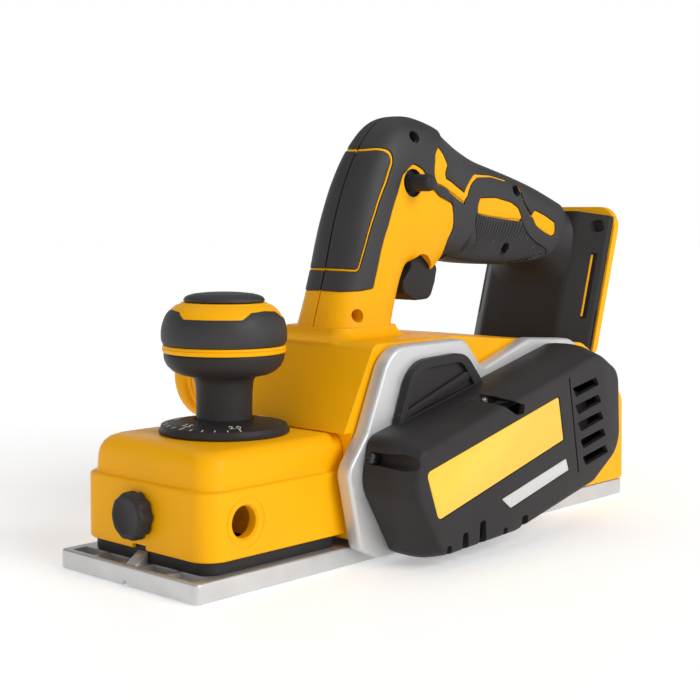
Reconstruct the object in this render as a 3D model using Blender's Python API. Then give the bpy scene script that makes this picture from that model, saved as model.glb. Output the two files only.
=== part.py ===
"""Cordless hand planer, modelled as an assembly of separate parts.

Lengths are in millimetres and become metres when a mesh is made. A place is (x, y, z): x runs back
from the front edge of the sole, y runs to the user's right from the centre line, and z runs up
from the sole. The world origin lies on the floor under the middle of the planer.
"""
import math

import bmesh
import bpy
from mathutils import Vector

MM = 0.001
GAP = 0.3

SOLE_LENGTH = 292.0
SOLE_HALF = 41.0
SOLE_THICK = 7.8
SHOE_TRAVEL = 2.0
LEFT_EXTENT = -74.0
RIGHT_EXTENT = 64.0

NOSE_FRONT = 7.0
NOSE_BACK = 82.0
NOSE_LEFT = -39.0
NOSE_RIGHT = 37.5
NOSE_BOTTOM = 13.0
NOSE_TOP = 53.6

BODY_LEFT = -41.0
BODY_RIGHT = 46.0
BODY_FLOOR = SOLE_THICK + GAP
RAISED_FLOOR = BODY_FLOOR + SHOE_TRAVEL + GAP

FRAME_INNER = BODY_LEFT - GAP
FRAME_OUTER = -48.5
COVER_FACE = LEFT_EXTENT

KNOB_X = 51.2
DISC_RADIUS = 25.7
DISC_TOP = 57.2
ROD_X = 26.0
ROD_Z = 26.5
ROD_RADIUS = 6.0

DRUM_X = 115.0
DRUM_Z = 27.7
DRUM_RADIUS = 26.0
BLADE_RADIUS = 27.3
SHAFT_RADIUS = 5.0
DRUM_PULLEY = 16.0
MOTOR_X = 205.0
MOTOR_Z = 49.0
MOTOR_PULLEY = 11.0
STATOR_RADIUS = 27.0
COVER_SCREWS = ((83.5, 45.0), (139.0, 66.2))
COVER_SCREW_HEAD = -52.5
LATCH_SLOT = (135.0, 64.5)
BELT_THICK = 2.4
BELT_LEFT = -64.0
BELT_RIGHT = -54.0

PIN_X = 149.8
PIN_Z = 155.9
PIN_RADIUS = 3.8

PORT_X = 101.0
PORT_Z = 70.0
PORT_RADIUS = 22.0
PORT_BORE = 16.0
CHIP_X = 104.5
CHIP_Z = 68.5
CHIP_RADIUS = 12.5

LEAN = 0.29
BRACKET_BASE = 80.0
BRACKET_X = 252.3
FLANGE_X = 268.3

FOOT_X = 281.0
FOOT_Y = 30.0
FOOT_Z = 12.5

# Each handle station is its front or top point, its rear or bottom point, and its half width.
HANDLE = (
    ((101.5, 89.6), (141.0, 89.6), 18.0),
    ((104.0, 98.0), (143.5, 97.0), 17.0),
    ((107.0, 107.4), (146.5, 106.0), 16.5),
    ((110.4, 118.3), (149.5, 114.0), 16.5),
    ((113.4, 130.0), (153.0, 119.0), 16.5),
    ((117.4, 143.0), (157.5, 119.5), 16.5),
    ((123.8, 158.5), (162.5, 116.5), 16.5),
    ((132.6, 172.5), (167.0, 114.0), 16.5),
    ((144.0, 183.0), (171.5, 113.8), 16.5),
    ((157.0, 186.0), (175.5, 117.0), 16.5),
    ((170.0, 183.4), (179.5, 120.6), 16.5),
    ((180.5, 178.2), (185.0, 121.2), 16.0),
    ((190.0, 173.6), (192.5, 120.3), 15.5),
    ((203.5, 168.6), (201.0, 119.5), 15.5),
    ((219.4, 165.0), (214.0, 118.8), 15.5),
    ((235.5, 161.4), (229.0, 118.3), 16.0),
    ((252.8, 156.6), (244.5, 117.8), 17.5),
    ((269.0, 150.4), (259.3, 117.0), 20.0),
)
FRONT_RUBBER = (2.0, 10.4, math.radians(80))
GRIP_RUBBER = (11.2, 16.6)
RUBBER_DEPTH = 1.6
SQUARENESS = 0.70

# Each handle screw is its place and the depth of its head.
SCREW_PLACES = ((113.8, 98.5, -9.0), (153.0, 176.5, -7.5), (222.5, 126.2, -9.0), (230.5, 154.2, -8.0))


def place(x, y, z):
    """World position in metres of a place on the planer."""
    middle = (LEFT_EXTENT + RIGHT_EXTENT) / 2
    return Vector(((x - SOLE_LENGTH / 2) * MM, (y - middle) * MM, z * MM))


def material(name, colour, roughness, metallic=0.0):
    """One plain surface for one sub-part."""
    surface = bpy.data.materials.new(name)
    surface.use_nodes = True
    shader = surface.node_tree.nodes["Principled BSDF"]
    shader.inputs["Base Color"].default_value = (*colour, 1.0)
    shader.inputs["Roughness"].default_value = roughness
    shader.inputs["Metallic"].default_value = metallic
    surface.diffuse_color = (*colour, 1.0)
    return surface


YELLOW = ((0.93, 0.47, 0.0), 0.42)
BLACK = ((0.045, 0.042, 0.042), 0.5)
RUBBER = ((0.05, 0.046, 0.047), 0.72)
CAST = ((0.56, 0.56, 0.56), 0.45, 0.85)
STEEL = ((0.5, 0.5, 0.52), 0.28, 1.0)
COPPER = ((0.75, 0.33, 0.13), 0.35, 1.0)
BRASS = ((0.8, 0.58, 0.22), 0.35, 1.0)
GREEN = ((0.03, 0.2, 0.08), 0.5)


def finish(name, mesh_data, pivot, look):
    """Turn a mesh in planer millimetres into an object with its origin at the pivot."""
    origin = place(*pivot)
    bmesh.ops.recalc_face_normals(mesh_data, faces=mesh_data.faces)
    for vertex in mesh_data.verts:
        vertex.co = place(*vertex.co) - origin
    mesh = bpy.data.meshes.new(name)
    mesh_data.to_mesh(mesh)
    mesh_data.free()
    mesh.materials.append(material(name + "_surface", *look))
    mesh.shade_smooth()
    mesh.set_sharp_from_angle(angle=math.radians(35))
    body = bpy.data.objects.new(name, mesh)
    body.location = origin
    bpy.context.collection.objects.link(body)
    return body


def loft(name, rings, look=YELLOW, pivot=(0, 0, 0)):
    """Close a skin over rings that all have the same number of points."""
    shape = bmesh.new()
    rows = [[shape.verts.new(point) for point in ring] for ring in rings]
    count = len(rows[0])
    for low, high in zip(rows, rows[1:]):
        for i in range(count):
            j = (i + 1) % count
            shape.faces.new((low[i], low[j], high[j], high[i]))
    shape.faces.new(rows[0])
    shape.faces.new(rows[-1])
    return finish(name, shape, pivot, look)


def prism(name, outline, low, high, look=YELLOW, pivot=(0, 0, 0), along="y"):
    """Extrude an outline along x, y or z between two planes."""
    def point(a, b, c):
        return {"x": (c, a, b), "y": (a, c, b), "z": (a, b, c)}[along]
    return loft(name, [[point(a, b, c) for a, b in outline] for c in (low, high)], look, pivot)


def box(name, x, y, z, look=YELLOW, pivot=(0, 0, 0)):
    """A block between pairs of limits."""
    outline = ((x[0], y[0]), (x[1], y[0]), (x[1], y[1]), (x[0], y[1]))
    return prism(name, outline, z[0], z[1], look, pivot, along="z")


def lathe(name, profile, centre, look=BLACK, axis="y", steps=32):
    """Spin a closed profile of (radius, distance along the axis) about an axis through centre."""
    shape = bmesh.new()
    columns = []
    for radius, along in profile:
        ring = []
        for k in range(1 if radius == 0 else steps):
            angle = 2 * math.pi * k / steps
            a, b = radius * math.cos(angle), radius * math.sin(angle)
            offset = {"x": (along, a, b), "y": (a, along, b), "z": (a, b, along)}[axis]
            ring.append(shape.verts.new([c + d for c, d in zip(centre, offset)]))
        columns.append(ring)
    for one, two in zip(columns, columns[1:] + columns[:1]):
        for k in range(steps):
            near = (one[k % len(one)], one[(k + 1) % len(one)])
            far = (two[(k + 1) % len(two)], two[k % len(two)])
            corners = list(dict.fromkeys(near + far))
            if len(corners) > 2:
                shape.faces.new(corners)
    return finish(name, shape, centre, look)


def rod(name, radius, low, high, centre, look=STEEL, axis="y", steps=24):
    """A plain round bar."""
    profile = ((0, low), (radius, low), (radius, high), (0, high))
    return lathe(name, profile, centre, look, axis, steps)


def rounded(corners, steps=4):
    """Closed outline through (a, b, radius) corners, with an arc at each corner."""
    outline = []
    for i, (a, b, radius) in enumerate(corners):
        here = Vector((a, b))
        before = (Vector(corners[i - 1][:2]) - here).normalized()
        after = (Vector(corners[(i + 1) % len(corners)][:2]) - here).normalized()
        half = before.angle(after) / 2
        reach = radius / math.tan(half)
        centre = here + (before + after).normalized() * (radius / math.sin(half))
        start = here + before * reach - centre
        end = here + after * reach - centre
        turn = start.angle_signed(end)
        for k in range(steps + 1):
            angle = -turn * k / steps
            cos, sin = math.cos(angle), math.sin(angle)
            outline.append((centre.x + start.x * cos - start.y * sin,
                            centre.y + start.x * sin + start.y * cos))
    return outline


def tool(body, cutter, operation="DIFFERENCE"):
    """Cut or join a body with a hidden tool."""
    cutter.hide_render = True
    cutter.display_type = "WIRE"
    change = body.modifiers.new(cutter.name, "BOOLEAN")
    change.operation = operation
    change.solver = "EXACT"
    change.object = cutter
    return body


def bevel(body, width, segments=2, angle=40):
    """Round the sharp edges of a body."""
    change = body.modifiers.new("edges", "BEVEL")
    change.width = width * MM
    change.segments = segments
    change.limit_method = "ANGLE"
    change.angle_limit = math.radians(angle)
    return body


def parent(children, pivot_name, pivot):
    """Hang moving parts from an empty on their joint's axis."""
    empty = bpy.data.objects.new(pivot_name, None)
    empty.location = place(*pivot)
    bpy.context.collection.objects.link(empty)
    for child in children:
        child.parent = empty
        child.location = child.location - empty.location


# ---------------------------------------------------------------- sole and nose

def front_shoe():
    """Adjustable front shoe with its ribbed lip and the boss that the depth screw turns in."""
    back = DRUM_X - 11
    outline = [(0, -SOLE_HALF), (back, -SOLE_HALF), (back, SOLE_HALF), (0, SOLE_HALF)]
    shoe = prism("front_shoe", outline, 0, SOLE_THICK, CAST, (KNOB_X, 0, 0), along="z")
    for side in (-1, 1):
        y = sorted((side * 3.5, side * 37.5))
        tool(shoe, box(f"lip_recess_{side}", (2.5, 9.0), y, (4.2, 12), CAST))
    groove = ((-3.4, -1), (3.4, -1), (0, 2.6))
    tool(shoe, prism("sole_groove", groove, -5, back + 5, CAST, along="x"))
    boss = lathe("shoe_boss", ((0, 6), (9, 6), (9, 34), (4.4, 34), (4.4, 14), (0, 14)),
                 (KNOB_X, 0, 0), CAST, "z")
    tool(shoe, boss, "UNION")
    gusset = ((2.6, SOLE_THICK - 1), (9.2, SOLE_THICK - 1), (9.2, 12.4), (3.4, SOLE_THICK))
    tool(shoe, prism("lip_gusset", gusset, -3, 3, CAST), "UNION")
    for k, drop in enumerate((0, SHOE_TRAVEL)):
        tool(shoe, drum_sweep(f"front_undercut_{k}", drop))
    return shoe


def drum_sweep(name, drop=0.0):
    """Space that the turning blades need, seen from a shoe that may rise by the drop."""
    return rod(name, BLADE_RADIUS + 0.6, -45, 45, (DRUM_X, 0, DRUM_Z - drop), CAST, "y", 48)


def shoe_collar():
    """Black collar on the shoe, which slides up inside the nose."""
    corners = ((9.5, -36.8, 7), (78, -36.8, 3), (78, 35.3, 3), (9.5, 35.3, 9))
    collar = prism("shoe_collar", rounded(corners), SOLE_THICK + GAP, 16.0, BLACK,
                   (KNOB_X, 0, 0), along="z")
    tool(collar, rod("collar_hole", 9.4, 0, 40, (KNOB_X, 0, 0), BLACK, "z"))
    return collar


def nose_ring(inset, z):
    """Plan outline of the nose at one height."""
    corners = ((NOSE_FRONT + inset, NOSE_LEFT + inset, 9), (NOSE_BACK, NOSE_LEFT + inset, 0.4),
               (NOSE_BACK, NOSE_RIGHT - inset, 0.4), (NOSE_FRONT + inset, NOSE_RIGHT - inset, 11))
    return [(x, y, z) for x, y in rounded(corners)]


def nose_housing():
    """Front housing over the shoe: a lower wall, a ledge, and an inset top with rounded edges."""
    levels = ((0, NOSE_BOTTOM), (0, 38.2), (0.8, 39.0), (2.0, 39.4), (2.4, 47.5),
              (4.0, 51.2), (7.5, NOSE_TOP))
    nose = loft("nose_housing", [nose_ring(inset, z) for inset, z in levels])
    well = rounded(((8.6, -37.4, 7.4), (80, -37.4, 2), (80, 35.9, 2), (8.6, 35.9, 9.4)))
    tool(nose, prism("collar_well", well, 0, 19.2, along="z"))
    tool(nose, rod("boss_well", 11.0, 0, 50, (KNOB_X, 0, 0), YELLOW, "z"))
    tool(nose, rod("screw_way", 4.6, 10, 70, (KNOB_X, 0, 0), YELLOW, "z"))
    bore = ((0, -60), (ROD_RADIUS + 0.8, -60), (ROD_RADIUS + 0.8, -33), (ROD_RADIUS, -31),
            (ROD_RADIUS, 60), (0, 60))
    tool(nose, lathe("rod_bore", bore, (ROD_X, 0, ROD_Z), YELLOW, "y", 24))
    tool(nose, rod("clamp_way", 3.3, -30, 12, (ROD_X - 12, 0, ROD_Z), YELLOW, "x"))
    tool(nose, box("nose_notch", (0, 10), (-4, 4), (10, 15)))
    return nose


def clamp_screw():
    """Lobed thumb screw that clamps a fence rod in the nose."""
    lobes = 10
    rings = []
    for x, radius, depth in ((0.2, 8.0, 0.0), (0.9, 8.8, 0.4), (2.2, 9.3, 0.8), (6.4, 9.5, 0.8)):
        steps = lobes * 4
        ring = []
        for k in range(steps):
            angle = 2 * math.pi * k / steps
            reach = radius - depth * (0.5 - 0.5 * math.cos(lobes * angle))
            ring.append((x, reach * math.cos(angle), ROD_Z + reach * math.sin(angle)))
        rings.append(ring)
    screw = loft("clamp_screw", rings, BLACK, (0, 0, ROD_Z))
    shank = rod("clamp_shank", 2.9, 5, 15, (0, 0, ROD_Z), BLACK, "x", 20)
    return tool(screw, shank, "UNION")


def rear_shoe():
    """Long fixed rear shoe behind the cutter."""
    front = DRUM_X + 8
    corners = ((front, -SOLE_HALF, 1), (SOLE_LENGTH, -SOLE_HALF, 4),
               (SOLE_LENGTH, SOLE_HALF, 4), (front, SOLE_HALF, 1))
    shoe = prism("rear_shoe", rounded(corners), 0, SOLE_THICK, CAST, along="z")
    tool(shoe, box("foot_slot", (FOOT_X - 20, 300), (FOOT_Y - 5.5, FOOT_Y + 5.5), (-2, 12), CAST))
    return tool(shoe, drum_sweep("rear_undercut"))


# ---------------------------------------------------------------- depth knob

def knob_parts():
    """The depth knob: dial, screw, core, shell, rubber band and cap, all turning together."""
    axis = (KNOB_X, 0, 0)
    dial = lathe("depth_dial", ((4.4, 53.9), (26.3, 53.9), (26.4, 55.0), (DISC_RADIUS, 56.2),
                                (DISC_RADIUS - 0.4, DISC_TOP), (4.4, DISC_TOP)), axis, BLACK, "z", 48)
    screw = lathe("depth_screw", ((0, 20), (3.9, 20), (3.9, 88), (0, 88)), axis, STEEL, "z", 20)
    core = lathe("knob_core", ((4.2, DISC_TOP + GAP), (11.6, DISC_TOP + GAP), (11.3, 60), (11.3, 72),
                               (12.6, 76), (18.5, 77.4), (23, 80.6), (24.3, 84), (24.3, 85.9),
                               (4.2, 85.9)), axis, BLACK, "z", 40)
    shell = lathe("knob_shell", ((4.2, 86.2), (24.6, 86.2), (24.9, 87.6), (24.6, 89.0), (22.5, 89.4),
                                 (22.3, 98), (18.5, 104.8), (16.0, 106.2), (4.2, 106.2)),
                  axis, YELLOW, "z", 40)
    band = lathe("knob_band", ((22.8, 89.6), (24.8, 89.4), (25.4, 92.5), (24.9, 97.5), (22.4, 102.6),
                               (21.2, 103.8), (20.2, 102.8), (22.6, 98.2)), axis, RUBBER, "z", 40)
    cap = lathe("knob_cap", ((0, 106.5), (16.3, 106.5), (15.8, 108.2), (12.5, 109.5), (6, 110.2),
                             (0, 110.3)), axis, RUBBER, "z", 32)
    parts = [dial, screw, core, shell, band, cap]
    parent(parts, "depth_knob_axis", axis)
    return parts


# ---------------------------------------------------------------- main body

def body_outline():
    """Side outline of the main housing, from the nose joint over the hump to the tail."""
    return rounded(((NOSE_BACK + GAP, RAISED_FLOOR, 0.5), (NOSE_BACK + GAP, NOSE_TOP + GAP, 0.2),
                    (78.0, NOSE_TOP + GAP, 0.3), (96.0, 89.0, 5), (150, 89.3, 40), (250, 80.3, 12),
                    (270, 69.5, 10), (289, 50, 9), (290.5, BODY_FLOOR, 2), (132, BODY_FLOOR, 0.5),
                    (112, RAISED_FLOOR, 0.5)), 3)


def main_housing():
    """Yellow main housing: the hump over the cutter, the motor bay and the tail."""
    shell = prism("main_housing", body_outline(), BODY_LEFT, BODY_RIGHT)
    bevel(shell, 5.0, 3, 50)
    chamber = rounded(((85, 0, 1), (85, 50, 6), (97.5, 82, 6), (122, 82, 8), (146, 60, 14),
                       (146, 0, 1)), 4)
    tool(shell, prism("cutter_chamber", chamber, -60, 41.3))
    bay = rounded(((151, SOLE_THICK - 3, 1), (151, 80, 10), (246, 74, 10), (262, 62, 8),
                   (280, 45, 6), (282, SOLE_THICK - 3, 1)), 3)
    tool(shell, prism("motor_bay", bay, -38, 42.5))
    tool(shell, rod("motor_bearing_way", 11, -60, -30, (MOTOR_X, 0, MOTOR_Z), YELLOW))
    tool(shell, rod("chip_way", CHIP_RADIUS, 38, 60, (CHIP_X, 0, CHIP_Z), YELLOW, "y", 32))
    tool(shell, rod("right_bearing_seat", 9.3, 40, 44.5, (DRUM_X, 0, DRUM_Z), YELLOW))
    post = rounded(((97, -23, 6), (146, -21, 6), (146, 21, 6), (97, 23, 6)), 3)
    tool(shell, prism("post_seat", post, 87.2, 100, along="z"))
    tool(shell, box("foot_bay", (FOOT_X - 22, 300), (FOOT_Y - 5.5, FOOT_Y + 5.5), (0, 20)))
    tool(shell, lathe("foot_pin_way", ((0, -9), (2.4, -9), (2.4, 30), (0, 30)),
                      (FOOT_X, FOOT_Y, FOOT_Z), YELLOW, "y", 16))
    return shell


def post_collar():
    """Flange that seats the handle post on the hump."""
    outer = rounded(((97.3, -22.7, 6), (145.7, -20.7, 6), (145.7, 20.7, 6), (97.3, 22.7, 6)), 3)
    inner = rounded(((98.8, -21.2, 5), (144.2, -19.2, 5), (144.2, 19.2, 5), (98.8, 21.2, 5)), 3)
    rings = [[(x, y, z) for x, y in ring] for ring, z in ((outer, 87.5), (outer, 88.4), (inner, 89.3))]
    return loft("post_collar", rings)


def dust_port():
    """Chip outlet on the right side, open through its whole length."""
    profile = ((PORT_BORE, BODY_RIGHT + GAP), (PORT_RADIUS - 1.5, BODY_RIGHT + GAP),
               (PORT_RADIUS - 1.5, 57), (PORT_RADIUS, 58.5), (PORT_RADIUS, 63), (PORT_RADIUS - 1, 64),
               (PORT_BORE + 0.6, 64), (PORT_BORE, 63))
    return lathe("dust_port", profile, (PORT_X, 0, PORT_Z), YELLOW, "y", 40)


def frame_outline():
    """Side outline of the aluminium side frame."""
    return rounded(((92, 2.5, 4), (80.5, 7.5, 5), (72.4, 40, 8), (83.5, 54.5, 5), (98, 88.3, 16),
                    (147, 88.8, 9), (160, 75.2, 6), (196, 86.2, 14), (238, 83.5, 14), (241, 40, 12),
                    (232, 18, 8), (150, 2.5, 6)), 4)


def side_frame():
    """Cast side frame that carries the left bearings of the cutter and the motor."""
    frame = prism("side_frame", frame_outline(), FRAME_OUTER, FRAME_INNER, CAST)
    bevel(frame, 0.9, 2)
    tool(frame, rod("left_bearing_seat", 11.3, -60, -30, (DRUM_X, 0, DRUM_Z), CAST))
    tool(frame, rod("motor_bearing_seat", 9.3, -60, -30, (MOTOR_X, 0, MOTOR_Z), CAST))
    return frame


# ---------------------------------------------------------------- belt cover

def cover_outline(grow=0.0):
    """Side outline of the belt cover's main face, which rises towards the rear."""
    return rounded(((87 - grow, 49.5 + grow, 7), (213, 80.5 + grow, 16), (231.5 + grow, 70, 10),
                    (234 + grow, 35, 14), (212, 21 - grow, 10), (152, 8.0 - grow, 14),
                    (101 - grow * 0.7, 5.6 - grow * 0.6, 7), (83.5 - grow, 34, 16)), 4)


def belt_cover():
    """Black shell over the drive belt, with cooling slots at its rear end."""
    levels = ((3.6, FRAME_OUTER - GAP), (4.0, -58), (3.2, -64), (0.2, -71.8), (-0.8, -73.4), (-2.0, -74))
    rings = [[(x, y, z) for x, z in cover_outline(grow)] for grow, y in levels]
    cover = loft("belt_cover", rings, BLACK)
    brow = rounded(((95, 48, 3), (107.5, 82, 16), (142, 83.5, 12), (158, 66, 3)), 4)
    tool(cover, prism("cover_brow", brow, FRAME_OUTER - GAP, -53, BLACK), "UNION")
    inside = [[(x, y, z) for x, z in cover_outline(-2.6)] for y in (-40, -71.4)]
    tool(cover, loft("cover_inside", inside, BLACK))
    for k in range(5):
        x, z = 201.2 - 2.3 * k, 33.6 + 8.0 * k
        slot = ((x, z), (x + 19, z + 3.4), (x + 21.6, z + 0.6), (x + 2.8, z - 3.3))
        tool(cover, prism(f"cover_slot_{k}", slot, -80, -60, BLACK))
    for k in range(3):
        x = 112 + 17 * k
        rib = rounded(((x, -4, 1), (x - 3, 13.5 + k, 2.5), (x + 6, 13.5 + k, 2.5), (x + 9, -4, 1)), 3)
        tool(cover, prism(f"cover_scallop_{k}", rib, -80, -71.7, BLACK))
    x, z = LATCH_SLOT
    latch = ((x - 3, z - 1), (x - 1, z + 6), (x + 22, z + 1), (x + 20, z - 6))
    tool(cover, prism("cover_latch_slot", latch, -80, -66, BLACK))
    for k, (x, z) in enumerate(COVER_SCREWS):
        hole = ((0, -80), (3.2, -80), (3.2, COVER_SCREW_HEAD + GAP), (1.9, COVER_SCREW_HEAD + GAP),
                (1.9, -45), (0, -45))
        tool(cover, lathe(f"cover_screw_way_{k}", hole, (x, 0, z), BLACK, "y", 16))
    return cover


def cover_screws():
    """Screws that hold the belt cover to the side frame."""
    for k, (x, z) in enumerate(COVER_SCREWS):
        profile = ((0, COVER_SCREW_HEAD - 1.6), (2.7, COVER_SCREW_HEAD - 1.6), (2.9, COVER_SCREW_HEAD),
                   (1.6, COVER_SCREW_HEAD), (1.6, FRAME_OUTER - GAP), (0, FRAME_OUTER - GAP))
        lathe(f"cover_screw_{k + 1}", profile, (x, 0, z), STEEL, "y", 16)


# ---------------------------------------------------------------- drive

def belt_path(drum_radius, motor_radius, steps=14):
    """Outline of an open belt around the two pulleys."""
    run = math.hypot(MOTOR_X - DRUM_X, MOTOR_Z - DRUM_Z)
    tilt = math.atan2(MOTOR_Z - DRUM_Z, MOTOR_X - DRUM_X)
    wrap = math.acos((drum_radius - motor_radius) / run)
    points = []
    for (cx, cz), radius, first, last in (
            ((DRUM_X, DRUM_Z), drum_radius, tilt + wrap, tilt + 2 * math.pi - wrap),
            ((MOTOR_X, MOTOR_Z), motor_radius, tilt - wrap, tilt + wrap)):
        for k in range(steps + 1):
            angle = first + (last - first) * k / steps
            points.append((cx + radius * math.cos(angle), cz + radius * math.sin(angle)))
    return points


def drive_belt():
    """Flat drive belt between the motor and cutter pulleys."""
    clear = 0.5
    outer = belt_path(DRUM_PULLEY + clear + BELT_THICK, MOTOR_PULLEY + clear + BELT_THICK)
    inner = belt_path(DRUM_PULLEY + clear, MOTOR_PULLEY + clear)
    belt = bmesh.new()
    rows = []
    for outline, y in ((outer, BELT_LEFT), (outer, BELT_RIGHT), (inner, BELT_RIGHT), (inner, BELT_LEFT)):
        rows.append([belt.verts.new((x, y, z)) for x, z in outline])
    for one, two in zip(rows, rows[1:] + rows[:1]):
        for i in range(len(one)):
            j = (i + 1) % len(one)
            belt.faces.new((one[i], one[j], two[j], two[i]))
    return finish("drive_belt", belt, (0, 0, 0), RUBBER)


def pulley(name, radius, x, z, bore):
    """Flanged pulley on a shaft."""
    profile = ((bore, BELT_LEFT - 2.5), (radius + 1.5, BELT_LEFT - 2.5), (radius + 1.5, BELT_LEFT - 0.8),
               (radius, BELT_LEFT - 0.5), (radius, BELT_RIGHT + 0.5), (radius + 1.5, BELT_RIGHT + 0.8),
               (radius + 1.5, BELT_RIGHT + 2.0), (bore, BELT_RIGHT + 2.0))
    return lathe(name, profile, (x, 0, z), BLACK, "y", 32)


def cutter_group():
    """Cutter drum with two blades and their clamps, its shaft and its pulley."""
    centre = (DRUM_X, 0, DRUM_Z)
    drum = lathe("cutter_drum", ((SHAFT_RADIUS + GAP, -40.5), (DRUM_RADIUS, -40.5), (DRUM_RADIUS, 40.5),
                                 (SHAFT_RADIUS + GAP, 40.5)), centre, CAST, "y", 40)
    parts = [drum]
    for k, turn in enumerate((1, -1)):
        def spot(a, b, turn=turn):
            return (DRUM_X + turn * a, DRUM_Z + turn * b)
        pocket = [spot(a, b) for a, b in ((-4.5, 40), (-5.5, 12), (6.5, 12), (9, 40))]
        tool(drum, prism(f"blade_pocket_{k}", pocket, -50, 50, CAST))
        blade = [spot(a, b) for a, b in ((-4.0, 12.4), (-2.2, 12.4), (-1.2, BLADE_RADIUS - 0.2), (-2.9, 25.6))]
        clamp = [spot(a, b) for a, b in ((-1.8, 12.4), (6.1, 12.4), (7.2, 23.5), (-0.9, 24.8))]
        parts.append(prism(f"blade_{k + 1}", blade, -40.8, 40.8, STEEL, centre))
        parts.append(prism(f"blade_clamp_{k + 1}", clamp, -40.3, 40.3, STEEL, centre))
    parts.append(rod("drum_shaft", SHAFT_RADIUS, -66.8, 44.0, centre))
    parts.append(pulley("drum_pulley", DRUM_PULLEY, DRUM_X, DRUM_Z, SHAFT_RADIUS + GAP))
    parent(parts, "drum_axis", centre)
    return parts


def motor_rotor_group():
    """Rotor, shaft, cooling fan and pulley of the motor."""
    centre = (MOTOR_X, 0, MOTOR_Z)
    bore = 3.3
    rotor = lathe("motor_rotor", ((bore, -18), (14.2, -18), (14.2, 22), (bore, 22)), centre, STEEL)
    shaft = rod("motor_shaft", 3.0, -66.8, 36, centre)
    hub = lathe("cooling_fan", ((bore, -34), (7, -34), (9, -29.2), (23, -28), (23, -27), (bore, -27)),
                centre, BLACK, "y", 32)
    for k in range(9):
        angle = 2 * math.pi * k / 9
        cos, sin = math.cos(angle), math.sin(angle)
        corners = [(MOTOR_X + r * cos - t * sin, MOTOR_Z + r * sin + t * cos)
                   for r, t in ((6, -0.6), (22.5, 3.0), (22.5, 4.2), (6, 0.6))]
        tool(hub, prism(f"fan_blade_{k}", corners, -36, -27.5, BLACK), "UNION")
    wheel = pulley("motor_pulley", MOTOR_PULLEY, MOTOR_X, MOTOR_Z, bore)
    parts = [rotor, shaft, hub, wheel]
    parent(parts, "motor_axis", centre)
    return parts


def bearing(name, inner, outer, low, high, x, z):
    """Sealed ball bearing, shown as its outer shape."""
    profile = ((inner, low), (outer, low), (outer, high), (inner, high))
    return lathe(name, profile, (x, 0, z), STEEL, "y", 28)


def fixed_drive_parts():
    """Bearings, stator, windings and the cradle that holds the motor on the rear shoe."""
    bearing("drum_bearing_left", SHAFT_RADIUS + GAP, 11.0, -47.5, -41.6, DRUM_X, DRUM_Z)
    bearing("drum_bearing_right", SHAFT_RADIUS + GAP, 9.0, 41.6, 44.2, DRUM_X, DRUM_Z)
    bearing("motor_bearing_left", 3.3, 9.0, -47.5, -42, MOTOR_X, MOTOR_Z)
    bearing("motor_bearing_right", 3.3, 8.0, 29.5, 35.5, MOTOR_X, MOTOR_Z)
    centre = (MOTOR_X, 0, MOTOR_Z)
    lathe("motor_stator", ((14.9, -14), (STATOR_RADIUS, -14), (STATOR_RADIUS, 18), (14.9, 18)),
          centre, STEEL)
    for name, low in (("winding_left", -21.5), ("winding_right", 18.3)):
        lathe(name, ((16, low), (23, low), (24, low + 3), (23.5, low + 7.2), (16, low + 7.2)),
              centre, COPPER, "y", 28)
    cradle = rounded(((178, BODY_FLOOR, 1), (171, 60, 4), (239, 60, 4), (232, BODY_FLOOR, 1)), 2)
    holder = prism("motor_cradle", cradle, -13.5, 17.5, BLACK)
    tool(holder, rod("cradle_bore", STATOR_RADIUS + GAP, -30, 30, centre, BLACK, "y", 32))
    cheek = rounded(((193, BODY_FLOOR, 1), (193, 60, 5), (217, 60, 5), (217, BODY_FLOOR, 1)), 2)
    support = prism("bearing_bracket", cheek, 29.8, 35.2, BLACK)
    tool(support, rod("bracket_bore", 8.3, 20, 40, centre, BLACK))
    box("control_board", (244, 256), (-30, 30), (BODY_FLOOR, 60), GREEN)


# ---------------------------------------------------------------- handle

def station(u):
    """Handle station between the listed ones: outer point, inner point and half width."""
    i = min(int(u), len(HANDLE) - 2)
    t = u - i
    picks = [HANDLE[min(max(i + k, 0), len(HANDLE) - 1)] for k in (-1, 0, 1, 2)]
    rows = [(*outer, *inner, width) for outer, inner, width in picks]
    return [b + 0.5 * t * (c - a + t * (2 * a - 5 * b + 4 * c - d + t * (3 * b - a - 3 * c + d)))
            for a, b, c, d in zip(*rows)]


def swell(value):
    """Push a cosine or sine outwards, so that a round section turns squarer."""
    return math.copysign(abs(value) ** SQUARENESS, value)


def handle_point(u, angle, lift=0.0):
    """Point on the handle's skin: angle 0 is its front or top, and a half turn its underside."""
    ox, oz, ix, iz, width = station(u)
    half = math.hypot(ox - ix, oz - iz) / 2
    along = swell(math.cos(angle)) * (half + lift) / half / 2
    return ((ox + ix) / 2 + (ox - ix) * along, swell(math.sin(angle)) * (width + lift),
            (oz + iz) / 2 + (oz - iz) * along)


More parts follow.
